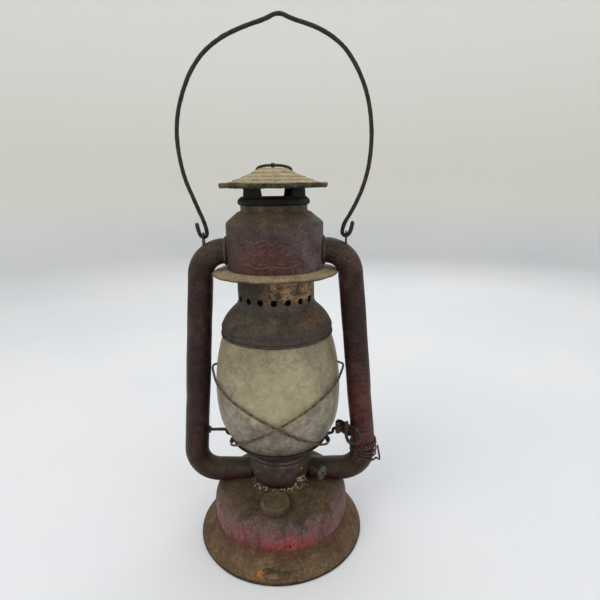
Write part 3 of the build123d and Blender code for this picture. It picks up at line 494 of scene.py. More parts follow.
M["wire"] = raw_metal("wire", (74, 64, 53), (30, 26, 23), (70, 46, 32), rust_at=(0.52, 0.7), metallic=0.3, rough=(0.38, 0.66), bump=0.6, scale=2.0)
M["bail_wire"] = raw_metal("bail_wire", (52, 44, 38), (28, 24, 22), (66, 42, 30), rust_at=(0.5, 0.66), metallic=0.25, rough=(0.4, 0.68), bump=0.6, scale=1.6)
M["guard_wire"] = raw_metal("guard_wire", (116, 102, 82), (56, 47, 37), (88, 64, 42), rust_at=(0.5, 0.66), metallic=0.25, rough=(0.42, 0.7), bump=0.6, scale=2.0)
M["repair"] = raw_metal("repair", (95, 79, 63), (27, 21, 17), (88, 56, 38), rust_at=(0.45, 0.62), metallic=0.25, rough=(0.45, 0.75), bump=0.6, scale=2.0)
M["spring_steel"] = raw_metal("spring_steel", (78, 70, 60), (48, 43, 38), (84, 56, 38), metallic=0.45)
M["knob_zinc"] = raw_metal("knob_zinc", (112, 108, 104), (72, 69, 66), (88, 72, 58), rust_at=(0.52, 0.68), metallic=0.2, rough=(0.45, 0.72), dust=(98, 90, 78))
M["solder"] = raw_metal("solder", (92, 80, 68), (56, 48, 42), (84, 56, 42), rust_at=(0.48, 0.62), metallic=0.25, dust=(84, 70, 54))


def make_glass():
    T = Tree("globe_glass")
    big = T.noise(22.0, 6.0, 0.6, 0.5)
    mid = T.noise(110.0, 8.0, 0.74)
    fine = T.noise(800.0, 6.0, 0.7)
    sag = T.mul(T.math("MINIMUM", T.mul(T.x, T.x), 0.00176), -19.0)
    lowfall = T.span(T.math("ADD", T.math("ADD", T.z, sag), T.span(mid, 0.3, 0.7, -0.006, 0.006)), 0.130, 0.152)
    cream = T.mix(T.span(big, 0.38, 0.62), (156, 145, 118), (184, 171, 138))
    grey = T.mix(T.span(mid, 0.38, 0.62), (158, 149, 134), (180, 171, 155))
    col = T.mix(lowfall, grey, cream)
    # painted shade: the glass is darker and browner towards its left and right sides
    ax = T.math("ADD", T.math("ABSOLUTE", T.x), T.span(T.noise(45.0, 6.0, 0.65, w=4.0), 0.3, 0.7, -0.010, 0.010))
    col = T.mix(T.mul(T.span(ax, 0.034, 0.060), 0.62), col, (138, 124, 103))
    smut = T.span(T.noise(60.0, 9.0, 0.76, w=2.5), 0.5, 0.66)
    col = T.mix(T.mul(smut, 0.5), col, (112, 101, 80))
    top = T.mul(T.span(T.z, 0.196, 0.216), 0.55)
    col = T.mix(top, col, (150, 141, 118))
    # darker towards the foot of the glass
    col = T.mix(T.mul(T.span(T.z, 0.130, 0.112), 0.6), col, (104, 94, 76))
    specks = T.span(T.voronoi(330.0), 0.05, 0.13, 1.0, 0.0)
    col = T.mix(T.mul(specks, T.span(mid, 0.45, 0.58), 0.75), col, (96, 84, 64))
    col = T.mix(1.0, col, T.span(T.noise(360.0, 8.0, 0.8, w=1.1), 0.36, 0.64, 0.78, 1.2), "MULTIPLY")
    alpha = T.math("ADD", T.span(big, 0.3, 0.7, 0.0, 0.12), T.span(lowfall, 0.0, 1.0, 0.44, 0.60))
    alpha = T.math("ADD", alpha, T.span(mid, 0.38, 0.62, -0.06, 0.10), clamp=True)
    n = T.bump(T.math("ADD", mid, T.mul(fine, 0.3)), 0.18, 0.0005)
    # painted light: a brighter patch on the front of the glass
    lit = T.spot((0.0, -60.0, 172.0), (34.0, 40.0, 26.0), 0.3, 40.0, 1.0)
    col = T.mix(T.mul(lit, lowfall, 0.35), col, (200, 188, 154))
    m = T.shade(col, T.span(mid, 0.3, 0.7, 0.34, 0.62), n, 0.0, 0.4)
    # where the dirt is thin the glass lets a greyed light through
    clear = T.t.nodes.new("ShaderNodeBsdfTransparent")
    T.put(clear.inputs["Color"], T.mix(T.span(fine, 0.3, 0.7), (222, 218, 208), (234, 231, 222)))
    both = T.t.nodes.new("ShaderNodeMixShader")
    T.put(both.inputs[0], alpha)
    coat = T.out.inputs["Surface"].links[0].from_socket
    T.t.links.new(clear.outputs[0], both.inputs[1])
    T.t.links.new(coat, both.inputs[2])
    T.t.links.new(both.outputs[0], T.out.inputs["Surface"])
    return m


M["globe_glass"] = make_glass()


def make_cotton():
    T = Tree("wick_cotton")
    weave = T.math("SINE", T.mul(T.z, 5200.0))
    side = T.math("SINE", T.mul(T.math("ADD", T.x, T.y), 7000.0))
    h = T.math("ADD", T.mul(weave, 0.5), T.mul(side, 0.5))
    mid = T.noise(400.0, 6.0, 0.7)
    col = T.mix(T.span(h, -0.6, 0.8), (132, 118, 92), (186, 174, 146))
    char = T.span(T.math("ADD", T.z, T.span(mid, 0.3, 0.7, -0.001, 0.001)), 0.1085, 0.1115)
    col = T.mix(char, col, (22, 19, 17))
    n = T.bump(T.math("ADD", h, mid), 0.6, 0.0003)
    return T.shade(col, 0.95, n, 0.0, 0.2)


def make_cork():
    T = Tree("cork")
    cells = T.voronoi(900.0)
    mid = T.noise(300.0, 6.0, 0.7)
    col = T.mix(T.span(cells, 0.1, 0.5), (78, 56, 38), (150, 116, 80))
    col = T.mix(T.span(mid, 0.5, 0.7), col, (64, 48, 36))
    return T.shade(col, 0.88, T.bump(cells, 0.6, 0.0003), 0.0, 0.25)


M["wick_cotton"] = make_cotton()
M["cork"] = make_cork()


# -------------------------------------------------------------------- geometry
class Wobble:
    """Smooth, repeatable unevenness: a sum of fixed waves."""

    def __init__(self, seed, wavelength, waves=14):
        rng = np.random.RandomState(seed)
        d = rng.normal(size=(waves, 3))
        d /= np.linalg.norm(d, axis=1)[:, None]
        self.k = d * (2 * math.pi / (wavelength * rng.uniform(0.6, 1.7, size=(waves, 1))))
        self.p = rng.uniform(0, 2 * math.pi, size=waves)
        self.n = math.sqrt(waves / 2.0)

    def __call__(self, P):
        return np.sin(P @ self.k.T + self.p).sum(1) / self.n


def rounded(points, radius, segments=4, closed=True):
    """Polyline with its corners turned into short arcs. radius is a number or a list."""
    n = len(points)
    out = []
    for i, p in enumerate(points):
        r = radius[i] if isinstance(radius, (list, tuple)) else radius
        if (not closed and i in (0, n - 1)) or r <= 0:
            out.append(tuple(p))
            continue
        a = np.array(points[i - 1], float)
        b = np.array(p, float)
        c = np.array(points[(i + 1) % n], float)
        u, v = a - b, c - b
        lu, lv = np.linalg.norm(u), np.linalg.norm(v)
        u, v = u / lu, v / lv
        cosang = float(np.clip(u @ v, -1, 1))
        half = math.acos(cosang) / 2
        if half > math.radians(88.5):
            out.append(tuple(p))
            continue
        t = min(r / math.tan(half), 0.46 * lu, 0.46 * lv)
        s, e = b + u * t, b + v * t
        for k in range(segments + 1):
            f = k / segments
            q = (1 - f) ** 2 * s + 2 * f * (1 - f) * b + f * f * e
            out.append(tuple(q))
    return out


def densify(points, step, closed=True):
    out = []
    n = len(points)
    for i in range(n if closed else n - 1):
        a, b = np.array(points[i], float), np.array(points[(i + 1) % n], float)
        k = max(1, int(math.ceil(np.linalg.norm(b - a) / (step(a, b) if callable(step) else step))))
        for j in range(k):
            out.append(tuple(a + (b - a) * j / k))
    if not closed:
        out.append(tuple(points[-1]))
    return out


def smooth_line(points, step=1.0):
    """Centripetal Catmull-Rom curve through 2D or 3D points, open."""
    P = [np.array(p, float) for p in points]
    P = [2 * P[0] - P[1]] + P + [2 * P[-1] - P[-2]]
    out = []
    for i in range(1, len(P) - 2):
        p0, p1, p2, p3 = P[i - 1], P[i], P[i + 1], P[i + 2]
        t0 = 0.0
        t1 = t0 + max(1e-6, np.linalg.norm(p1 - p0)) ** 0.5
        t2 = t1 + max(1e-6, np.linalg.norm(p2 - p1)) ** 0.5
        t3 = t2 + max(1e-6, np.linalg.norm(p3 - p2)) ** 0.5
        k = max(1, int(math.ceil(np.linalg.norm(p2 - p1) / step)))
        for j in range(k):
            t = t1 + (t2 - t1) * j / k
            a1 = (t1 - t) / (t1 - t0) * p0 + (t - t0) / (t1 - t0) * p1
            a2 = (t2 - t) / (t2 - t1) * p1 + (t - t1) / (t2 - t1) * p2
            a3 = (t3 - t) / (t3 - t2) * p2 + (t - t2) / (t3 - t2) * p3
            b1 = (t2 - t) / (t2 - t0) * a1 + (t - t0) / (t2 - t0) * a2
            b2 = (t3 - t) / (t3 - t1) * a2 + (t - t1) / (t3 - t1) * a3
            out.append(tuple((t2 - t) / (t2 - t1) * b1 + (t - t1) / (t2 - t1) * b2))
    out.append(tuple(P[-2]))
    return out


def inset(points, t):
    """Open profile moved by t to the left of its direction of travel."""
    P = np.array(points, float)
    d = np.gradient(P, axis=0)
    d /= np.linalg.norm(d, axis=1)[:, None]
    n = np.stack([-d[:, 1], d[:, 0]], 1)
    return [tuple(q) for q in (P + n * t)]


def new_object(name, verts, faces, material, smooth=True):
    me = bpy.data.meshes.new(name)
    me.from_pydata([tuple(v) for v in verts], [], faces)
    me.validate()
    me.materials.append(material)
    if smooth:
        me.polygons.foreach_set("use_smooth", [True] * len(me.polygons))
    me.update()
    o = bpy.data.objects.new(name, me)
    scene.collection.objects.link(o)
    return o


def fix_normals(o):
    bm = bmesh.new()
    bm.from_mesh(o.data)
    bmesh.ops.recalc_face_normals(bm, faces=bm.faces)
    bm.to_mesh(o.data)
    bm.free()
    o.data.update()
    return o


def finish_piece(o, body, reps=()):
    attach(o, body)
    if reps:
        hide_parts(*reps)
    return o


def lathe_grid(prof, thetas, closed=True):
    """Vertices (mm) and faces of a profile turned about Z; ends on the axis become poles."""
    verts, rows = [], []
    nt = len(thetas)
    ct, st = np.cos(thetas), np.sin(thetas)
    for r, z in prof:
        if r < 1e-6:
            rows.append([len(verts)])
            verts.append((0.0, 0.0, z))
        else:
            start = len(verts)
            verts.extend(zip(r * ct, r * st, [z] * nt))
            rows.append(list(range(start, start + nt)))
    faces = []
    m = len(rows)
    for i in range(m if closed else m - 1):
        a, b = rows[i], rows[(i + 1) % m]
        for j in range(nt):
            k = (j + 1) % nt
            if len(a) == 1 and len(b) == 1:
                continue
            if len(a) == 1:
                faces.append((a[0], b[j], b[k]))
            elif len(b) == 1:
                faces.append((a[j], b[0], a[k]))
            else:
                faces.append((a[j], b[j], b[k], a[k]))
    return np.array(verts, float), faces, rows


def lathe(name, prof, body, mat, reps=(), n=192, thetas=None, closed=True, wob=(0.0, 30.0, 1), dents=(), shape=None):
    th = np.linspace(0, 2 * math.pi, n, endpoint=False) if thetas is None else np.array(thetas)
    V, F, rows = lathe_grid(prof, th, closed)
    if shape is not None:
        V = shape(V)
    V = uneven(V, wob, dents)
    o = new_object(name, V * MM, F, mat)
    fix_normals(o)
    return finish_piece(o, body, reps)


def uneven(V, wob, dents=()):
    amp, wavelength, seed = wob
    if amp > 0:
        off = np.stack([Wobble(seed * 10 + k, wavelength)(V) for k in range(3)], 1)
        off[:, 2] *= 0.4
        V = V + off * amp
    for centre, radius, push in dents:
        d = np.linalg.norm(V - np.array(centre, float), axis=1) / radius
        w = np.exp(-d * d * 2.2)
        V = V + w[:, None] * np.array(push, float)
    return V


def bspline(points, per=8, closed=False):
    """Quadratic B-spline: touches the middle of each run between its points."""
    P = [np.array(p, float) for p in points]
    n = len(P)
    out = []
    idx = range(n) if closed else range(1, n - 1)
    for i in idx:
        a = (P[i - 1] + P[i]) / 2 if closed or i > 1 else P[0]
        b = (P[i] + P[(i + 1) % n]) / 2 if closed or i < n - 2 else P[-1]
        c = P[i]
        for k in range(per):
            f = k / per
            out.append((1 - f) ** 2 * a + 2 * f * (1 - f) * c + f * f * b)
    if not closed:
        out.append(P[-1])
    return np.array(out)


def resample(path, step, closed=False):
    P = np.array(path, float)
    if closed:
        P = np.vstack([P, P[:1]])
    d = np.r_[0, np.cumsum(np.linalg.norm(np.diff(P, axis=0), axis=1))]
    k = max(4, int(round(d[-1] / step)))
    s = np.linspace(0, d[-1], k + 1)
    Q = np.stack([np.interp(s, d, P[:, i]) for i in range(3)], 1)
    return Q[:-1] if closed else Q


def wire(name, path, radius, body, mat, reps=(), sides=14, closed=False, rough=0.03, seed=1, step=None):
    """Round wire along a path (mm), with rounded ends and slight pitting."""
    P = resample(path, step or radius * 0.9, closed)
    n = len(P)
    if closed:
        T = np.roll(P, -1, 0) - np.roll(P, 1, 0)
    else:
        T = np.gradient(P, axis=0)
    T /= np.linalg.norm(T, axis=1)[:, None]
    up = np.array([0.0, 1.0, 0.0])
    if abs(T[0] @ up) > 0.9:
        up = np.array([0.0, 0.0, 1.0])
    N = np.zeros_like(P)
    N[0] = up - T[0] * (up @ T[0])
    N[0] /= np.linalg.norm(N[0])
    for i in range(1, n):
        v = N[i - 1] - T[i] * (N[i - 1] @ T[i])
        N[i] = v / np.linalg.norm(v)
    if closed:
        v = N[-1] - T[0] * (N[-1] @ T[0])
        v /= np.linalg.norm(v)
        ang = math.atan2(np.cross(N[0], v) @ T[0], N[0] @ v)
        for i in range(n):
            a = -ang * i / n
            b = np.cross(T[i], N[i])
            N[i] = N[i] * math.cos(a) + b * math.sin(a)
    B = np.cross(T, N)
    ph = np.linspace(0, 2 * math.pi, sides, endpoint=False)
    rings, centres, radii = [], list(P), [radius] * n
    if not closed:
        for f in (0.55, 0.85, 1.0):
            pass
        radii[0], radii[-1] = radius * 0.62, radius * 0.62
        if n > 4:
            radii[1], radii[-2] = radius * 0.94, radius * 0.94
    verts, faces = [], []
    for i in range(n):
        ring = P[i] + radii[i] * (np.cos(ph)[:, None] * N[i] + np.sin(ph)[:, None] * B[i])
        verts.append(ring)
    V = np.vstack(verts)
    if rough > 0:
        w1, w2 = Wobble(seed, 2.6, 18), Wobble(seed + 7, 9.0, 12)
        C = np.repeat(P, sides, 0)
        R = V - C
        ln = np.linalg.norm(R, axis=1)[:, None]
        V = V + R / ln * (w1(V)[:, None] * rough * 0.6 + w2(V)[:, None] * rough)
    for i in range(n if closed else n - 1):
        a, b = i * sides, ((i + 1) % n) * sides
        for j in range(sides):
            k = (j + 1) % sides
            faces.append((a + j, a + k, b + k, b + j))
    if not closed:
        s, e = len(V), len(V) + 1
        V = np.vstack([V, P[0] - T[0] * radius * 0.25, P[-1] + T[-1] * radius * 0.25])
        for j in range(sides):
            k = (j + 1) % sides
            faces.append((s, k, j))
            faces.append((e, (n - 1) * sides + j, (n - 1) * sides + k))
    o = new_object(name, V * MM, faces, mat)
    fix_normals(o)
    return finish_piece(o, body, reps)


def cut(o, cutter):
    """Cuts a closed mesh out of a piece, for good."""
    mod = o.modifiers.new("cut", "BOOLEAN")
    mod.operation = "DIFFERENCE"
    mod.solver = "EXACT"
    mod.object = cutter
    dg = bpy.context.evaluated_depsgraph_get()
    me = bpy.data.meshes.new_from_object(o.evaluated_get(dg))
    o.modifiers.clear()
    old = o.data
    o.data = me
    me.name = old.name + "_cut"
    bpy.data.objects.remove(cutter)


def cylinder(centre, axis, radius, half, sides=48):
    """Scratch cylinder (mm) for cutting."""
    bm = bmesh.new()
    bmesh.ops.create_cone(bm, cap_ends=True, segments=sides, radius1=radius * MM, radius2=radius * MM, depth=2 * half * MM)
    me = bpy.data.meshes.new("cutter")
    bm.to_mesh(me)
    bm.free()
    q = Vector((0, 0, 1)).rotation_difference(Vector(axis).normalized())
    me.transform(Matrix.Translation(Vector(centre) * MM) @ q.to_matrix().to_4x4())
    o = bpy.data.objects.new("cutter", me)
    scene.collection.objects.link(o)
    bpy.context.view_layer.update()
    return o


# ------------------------------------------------------------------- foot ring
foot = rounded(
    [(81.6, 0.0), (84.3, 0.0), (85.0, 0.9), (85.0, 2.3), (84.3, 3.3), (82.6, 4.2), (79.0, 6.6), (74.4, 10.8),
     (71.2, 15.4), (70.0, 19.5), (69.9, 23.0), (69.15, 23.0), (69.2, 19.2), (70.4, 15.0), (73.8, 10.2),
     (78.4, 5.9), (81.6, 3.6)],
    [0.5, 0.7, 0.6, 0.8, 1.2, 3.5, 6.0, 6.0, 5.0, 2.0, 0.3, 0.3, 2.0, 5.0, 6.0, 4.0, 0.6],
)
foot = densify(foot, 1.6)


def foot_shape(V):
    # the rim stays on the surface; the flare above it is a little uneven
    r = np.hypot(V[:, 0], V[:, 1])
    w = np.clip((V[:, 2] - 0.5) / 6.0, 0, 1)
    th = np.arctan2(V[:, 1], V[:, 0])
    dz = 0.35 * np.sin(3 * th + 0.7) + 0.22 * np.sin(7 * th + 2.0) + 0.12 * np.sin(17 * th)
    V = V.copy()
    V[:, 2] += dz * w * np.clip((23.0 - V[:, 2]) / 6.0, 0, 1)
    k = -0.25 * np.clip(np.sin(5 * th + 1.0), 0, 1) / np.maximum(r, 1)
    V[:, 0] += V[:, 0] * k
    V[:, 1] += V[:, 1] * k
    return V


lathe("foot_ring_shell", foot, ROOT, M["foot_tin"], ["foot_ring"], n=288, shape=foot_shape)

# ------------------------------------------------------------------- font tank
dome = smooth_line([(69.0, 33.0), (69.0, 37.0), (68.35, 43.0), (66.2, 48.0), (62.5, 52.0), (57.0, 54.8),
                    (50.0, 56.6), (40.0, 58.2), (26.5, 59.6)], 1.5)
dome_in = inset(dome, 0.8)
font = densify([(69.0, 8.3), (69.0, 20.0)] + dome, 1.8, closed=False) + densify(dome_in[::-1] + [(68.2, 20.0), (68.2, 8.3)], 1.8, closed=False)


def font_shape(V):
    r = np.hypot(V[:, 0], V[:, 1])
    th = np.arctan2(V[:, 1], V[:, 0])
    V = V.copy()
    # pressed shoulder: a soft dip round the dome, and the flat that the filler stands on
    dip = -0.55 * np.exp(-((r - 45.0) / 5.5) ** 2) * (V[:, 2] > 40)
    d = np.hypot(V[:, 0] + 3.0, V[:, 1] + 49.5)
    dip = dip * np.clip((d - 16.0) / 10.0, 0, 1)
    V[:, 2] += dip
    push = 0.18 * np.sin(4 * th + 0.4) * np.exp(-((V[:, 2] - 40.0) / 9.0) ** 2)
    V[:, 0] += V[:, 0] / np.maximum(r, 1) * push
    V[:, 1] += V[:, 1] / np.maximum(r, 1) * push
    return V


font_piece = lathe(
    "font_tank_shell", font, ROOT, M["tank_tin"], ["font_tank"], n=288, shape=font_shape, wob=(0.10, 26.0, 4),
    dents=[((44.0, -50.0, 46.0), 9.0, (-0.9, 1.0, -0.3)), ((-52.0, -38.0, 50.0), 8.0, (0.5, 0.4, -0.7)),
           ((20.0, 60.0, 48.0), 10.0, (-0.2, -0.9, -0.5))],
)
cut(font_piece, cylinder((-3.0, -49.5, 56.8), (0, -0.08716, 0.99619), 10.92, 9.0, 72))

# ------------------------------------------------------------------ filler cap
AX = np.array([0.0, -0.08716, 0.99619])
AY = np.cross(AX, [1.0, 0.0, 0.0])
cap_prof = rounded(
    [(0, 7.25), (3.0, 7.2), (3.6, 6.75), (8.6, 6.9), (9.6, 7.5), (11.0, 8.1), (12.4, 7.9), (13.6, 6.9), (13.9, 5.9),
     (13.9, 2.4), (14.15, 2.0), (13.6, 2.0), (13.1, 2.4), (13.1, 5.2), (12.4, 5.95), (11.15, 5.95), (0, 5.95)],
    [0, 0.8, 0.8, 2.0, 1.0, 1.2, 1.0, 1.0, 0.6, 0.4, 0.2, 0.2, 0.4, 0.6, 0.6, 0.4, 0], closed=False,
)
cap_prof = densify(cap_prof, 0.5, closed=False)
th = np.linspace(0, 2 * math.pi, 288, endpoint=False)
V, F, rows = lathe_grid(cap_prof, th, closed=False)
ang = np.arctan2(V[:, 1], V[:, 0])
rr = np.hypot(V[:, 0], V[:, 1])
knurl = np.clip((rr - 13.35) / 0.3, 0, 1) * np.clip((5.7 - V[:, 2]) / 0.6, 0, 1)
k = 0.3 * np.cos(36 * ang) * knurl / np.maximum(rr, 1)
V[:, 0] += V[:, 0] * k
V[:, 1] += V[:, 1] * k
V[:, 2] += -0.25 * np.exp(-(((V[:, 0] - 5.0) / 4.0) ** 2 + ((V[:, 1] + 2.0) / 3.0) ** 2)) * (V[:, 2] > 6.3)
W = np.array([-3.0, -49.5, 56.8]) + V[:, :1] * np.array([1.0, 0, 0]) + V[:, 1:2] * AY + V[:, 2:3] * AX
o = fix_normals(new_object("filler_cap_shell", W * MM, F, M["cap_tin"]))
finish_piece(o, "fuel_cap", ["filler_cap"])

# ---------------------------------------------------------------------- collar
collar_line = smooth_line([(26.9, 59.8), (29.2, 63.4), (31.0, 68.5), (32.1, 75.0), (32.5, 82.0)], 0.8)
collar_line += rounded([(32.5, 82.0), (32.5, 87.4), (31.7, 88.6), (32.5, 89.8), (32.5, 92.2), (31.7, 93.4), (32.5, 94.6), (32.5, 98.6)],
                       [0, 1.0, 0.7, 1.0, 1.0, 0.7, 1.0, 0], 5, closed=False)[1:]
collar_line = densify(collar_line, 0.8, closed=False)
collar_prof = collar_line + inset(collar_line, 0.8)[::-1]
collar_piece = lathe("collar_shell", collar_prof, ROOT, M["collar_tin"], ["collar"], n=224, wob=(0.08, 14.0, 6),
                     dents=[((10.0, -31.0, 76.0), 5.0, (-0.1, 0.5, 0.0)), ((-18.0, -26.0, 70.0), 6.0, (0.3, 0.4, 0.0))])
spindle_u = np.array([0.82904, -0.55919, 0.0])
spindle_at = np.array([2.796, 4.145, 74.8])
cut(collar_piece, cylinder(spindle_at + spindle_u * 31.0, spindle_u, 1.9, 6.0, 24))

# ----------------------------------------------------------------- side tubes


def tube_path():
    """Centre line of the right tube from hood to collar, with the bend each point lies in and its flatness."""
    pts = [np.array([41.5, 296.6]), np.array([69.2, 296.6]), np.array([89.15, 65.0]), np.array([62.0, 65.0])]
    out = []

    def corner(a, b, c, R):
        u, v = a - b, c - b
        u, v = u / np.linalg.norm(u), v / np.linalg.norm(v)
        half = math.acos(float(u @ v)) / 2
        t = R / math.tan(half)
        m = (u + v) / np.linalg.norm(u + v)
        centre = b + m * R / math.sin(half)
        s, e = b + u * t, b + v * t
        a0 = math.atan2(*(s - centre)[::-1])
        a1 = math.atan2(*(e - centre)[::-1])
        if a1 > a0:
            a0 += 2 * math.pi
        arc = [centre + R * np.array([math.cos(a0 + (a1 - a0) * f), math.sin(a0 + (a1 - a0) * f)]) for f in np.linspace(0, 1, 40)]
        return s, e, arc

    s1, e1, arc1 = corner(pts[0], pts[1], pts[2], 23.6)
    s2, e2, arc2 = corner(pts[1], pts[2], pts[3], 23.0)

    def line(a, b, step, bend):
        k = max(2, int(np.linalg.norm(b - a) / step))
        for f in np.linspace(0, 1, k, endpoint=False):
            out.append((a + (b - a) * f, bend, 0.0))

    line(pts[0], s1, 0.9, 0)
    for q in arc1[:-1]:
        out.append((q, 1, 0.0))
    line(e1, s2, 1.5, 0)
    for q in arc2[:-1]:
        out.append((q, 2, 0.0))
    line(e2, pts[3], 0.9, 0)
    for f in np.linspace(0, 1, 32):
        out.append((pts[3] + (np.array([29.4, 66.6]) - pts[3]) * f, 0, f))
    return out


def side_tube(name, side, seed, node):
    path = tube_path()
    C = np.array([[p[0], 0.0, p[1]] for p, b, f in path])
    keep = [0]
    for i in range(1, len(C)):
        if np.linalg.norm(C[i] - C[keep[-1]]) > 0.3:
            keep.append(i)
    C = C[keep]
    flat = np.array([path[i][2] for i in keep])
    bend = np.array([path[i][1] for i in keep])
    n = len(C)
    T = np.gradient(C, axis=0)
    T /= np.linalg.norm(T, axis=1)[:, None]
    Nn = np.stack([T[:, 2], np.zeros(n), -T[:, 0]], 1)  # towards the inside of both bends
    s = np.r_[0, np.cumsum(np.linalg.norm(np.diff(C, axis=0), axis=1))]
    # how far each ring is inside a bend, softened at its ends
    inb = np.zeros(n)
    for b in (1, 2):
        m = np.where(bend == b)[0]
        s0, s1 = s[m[0]], s[m[-1]]
        inb = np.maximum(inb, np.clip((s - s0 + 5) / 10, 0, 1) * np.clip((s1 + 5 - s) / 10, 0, 1))
    sides = 72
    ph = np.linspace(0, 2 * math.pi, sides, endpoint=False)
    rng = np.random.RandomState(seed)
    outer, inner = [], []
    beads = [(191.0, 0.16), (115.0, 0.14), (262.0, 0.10)]
    for i in range(n):
        cn, sn = np.cos(ph), np.sin(ph)
        r_n = 12.0 + (9.3 - 12.0) * flat[i]
        r_y = 12.0
        # crimps on the inner side of a bend, slight flattening on the outer side
        inner_side = np.clip(cn, 0, 1) ** 1.5
        wave = math.sin(s[i] * 2 * math.pi / 4.3) * 0.5 + math.sin(s[i] * 2 * math.pi / 2.9 + 1.0) * 0.25
        crimp = inb[i] * inner_side * wave * 0.42
        flatten = -inb[i] * np.clip(-cn, 0, 1) ** 2 * 0.35
        bead = sum(h * math.exp(-((C[i][2] - z) / 0.9) ** 2) for z, h in beads) if bend[i] == 0 and 90 < C[i][2] < 275 else 0.0
        dr = crimp + flatten + bead
        outer.append(C[i] + ((r_n + dr) * cn)[:, None] * Nn[i] + np.outer((r_y + dr) * sn, [0, 1, 0]))
        inner.append(C[i] + ((r_n - 0.8 + dr) * cn)[:, None] * Nn[i] + np.outer((r_y - 0.8 + dr) * sn, [0, 1, 0]))
    V = np.vstack(outer + inner[::-1])
    V[:, 0] *= side
    V = uneven(V, (0.10, 34.0, seed), [((side * 89.0, -6.0, 150.0), 12.0, (-0.7 * side, 0.4, 0)),
                                      ((side * 84.0, -9.0, 215.0), 9.0, (-0.3 * side, 0.6, 0)),
                                      ((side * 74.0, 6.0, 120.0), 10.0, (0.5 * side, -0.2, 0))])
    m = 2 * n
    faces = []
    for i in range(m):
        a, b = i * sides, ((i + 1) % m) * sides
        for j in range(sides):
            k = (j + 1) % sides
            faces.append((a + j, a + k, b + k, b + j))
    o = fix_normals(new_object(name, V * MM, faces, M["painted_tin"]))
    finish_piece(o, ROOT, [node])
    return o


right_piece = side_tube("right_tube_shell", 1, 11, "right_tube")
left_piece = side_tube("left_tube_shell", -1, 23, "left_tube")
cut(left_piece, cylinder((-74.0, 0, 111.0), (1, 0, 0), 2.2, 7.0, 24))

# ------------------------------------------------------------------------ hood
hood_prof = rounded(
    [(37.7, 280.8), (44.9, 280.8), (44.9, 321.4), (44.2, 323.4), (34.6, 331.3), (33.4, 332.2), (30.9, 332.9),
     (30.6, 333.8), (30.6, 338.0), (29.8, 338.0), (29.8, 332.4), (33.2, 331.4), (34.0, 330.8), (43.5, 322.7),
     (44.1, 321.4), (44.1, 281.6), (37.7, 281.6)],
    [0.3, 0.5, 1.4, 1.2, 1.6, 1.0, 0.8, 0.6, 0.25, 0.2, 0.6, 0.6, 0.8, 0.8, 0.6, 0.3, 0.2],
)
hood_prof = densify(hood_prof, lambda a, b: 0.55 if a[0] > 44.5 and b[0] > 44.5 else 2.0)


def scroll_strokes():
    """Generic leaf-and-scroll panel in (arc length, height) round the hood's front, mm."""
    strokes = []

    def spiral(cx, cz, r0, r1, a0, a1, w, m=34):
        return [(cx + (r0 + (r1 - r0) * f) * math.cos(a0 + (a1 - a0) * f),
                 cz + (r0 + (r1 - r0) * f) * math.sin(a0 + (a1 - a0) * f), w * (1 - 0.4 * f)) for f in np.linspace(0, 1, m)]

    def curve(points, w0, w1):
        P = smooth_line(points, 0.4)
        return [(p[0], p[1], w0 + (w1 - w0) * i / max(1, len(P) - 1)) for i, p in enumerate(P)]

    for s in (-1, 1):
        # upper scroll: rises from the middle, dips, and curls under at its end
        strokes.append(curve([(s * 0.8, 306.2), (s * 5.0, 309.6), (s * 10.5, 309.0), (s * 15.5, 307.0), (s * 21.0, 309.4), (s * 26.6, 307.6)], 0.75, 0.6))
        strokes.append(spiral(s * 26.0, 304.9, 2.7, 0.7, math.pi / 2, math.pi / 2 - s * 4.9, 0.6))
        # lower scroll: peaks at the middle and sweeps up to a curl
        strokes.append(curve([(s * 0.6, 284.9), (s * 3.6, 287.6), (s * 9.5, 286.2), (s * 16.0, 286.6), (s * 22.5, 289.4), (s * 27.6, 289.0)], 0.85, 0.6))
        strokes.append(spiral(s * 26.8, 291.9, 2.8, 0.7, -math.pi / 2, -math.pi / 2 + s * 4.9, 0.6))
        strokes.append(curve([(s * 4.0, 290.6), (s * 9.0, 289.4), (s * 14.5, 290.8), (s * 19.0, 292.4)], 0.6, 0.35))
        # inner line of the upper scroll
        strokes.append(curve([(s * 5.5, 306.0), (s * 9.5, 305.4), (s * 14.5, 304.2), (s * 19.0, 305.6)], 0.6, 0.35))
        # small buds along the vine, the same on both sides
        for x, up in ((5.6, 1), (11.2, -1), (16.8, 1), (22.0, -1)):
            strokes.append(curve([(s * (x - 1.6), 298.3 + up * 1.0), (s * x, 298.3 + up * 3.1), (s * (x + 1.6), 298.3 + up * 1.0)], 0.6, 0.45))
        strokes.append(curve([(s * 0.2, 298.3), (s * 2.8, 296.9), (s * 5.6, 298.3), (s * 8.4, 299.7), (s * 11.2, 298.3), (s * 14.0, 296.9),
                              (s * 16.8, 298.3), (s * 19.4, 299.7), (s * 22.0, 298.3), (s * 25.6, 297.2)], 0.7, 0.45))
    strokes.append(curve([(0, 301.6), (2.0, 298.3), (0, 295.0), (-2.0, 298.3), (0, 301.6)], 0.5, 0.5))
    return np.array([p for st in strokes for p in st])


STROKES = scroll_strokes()


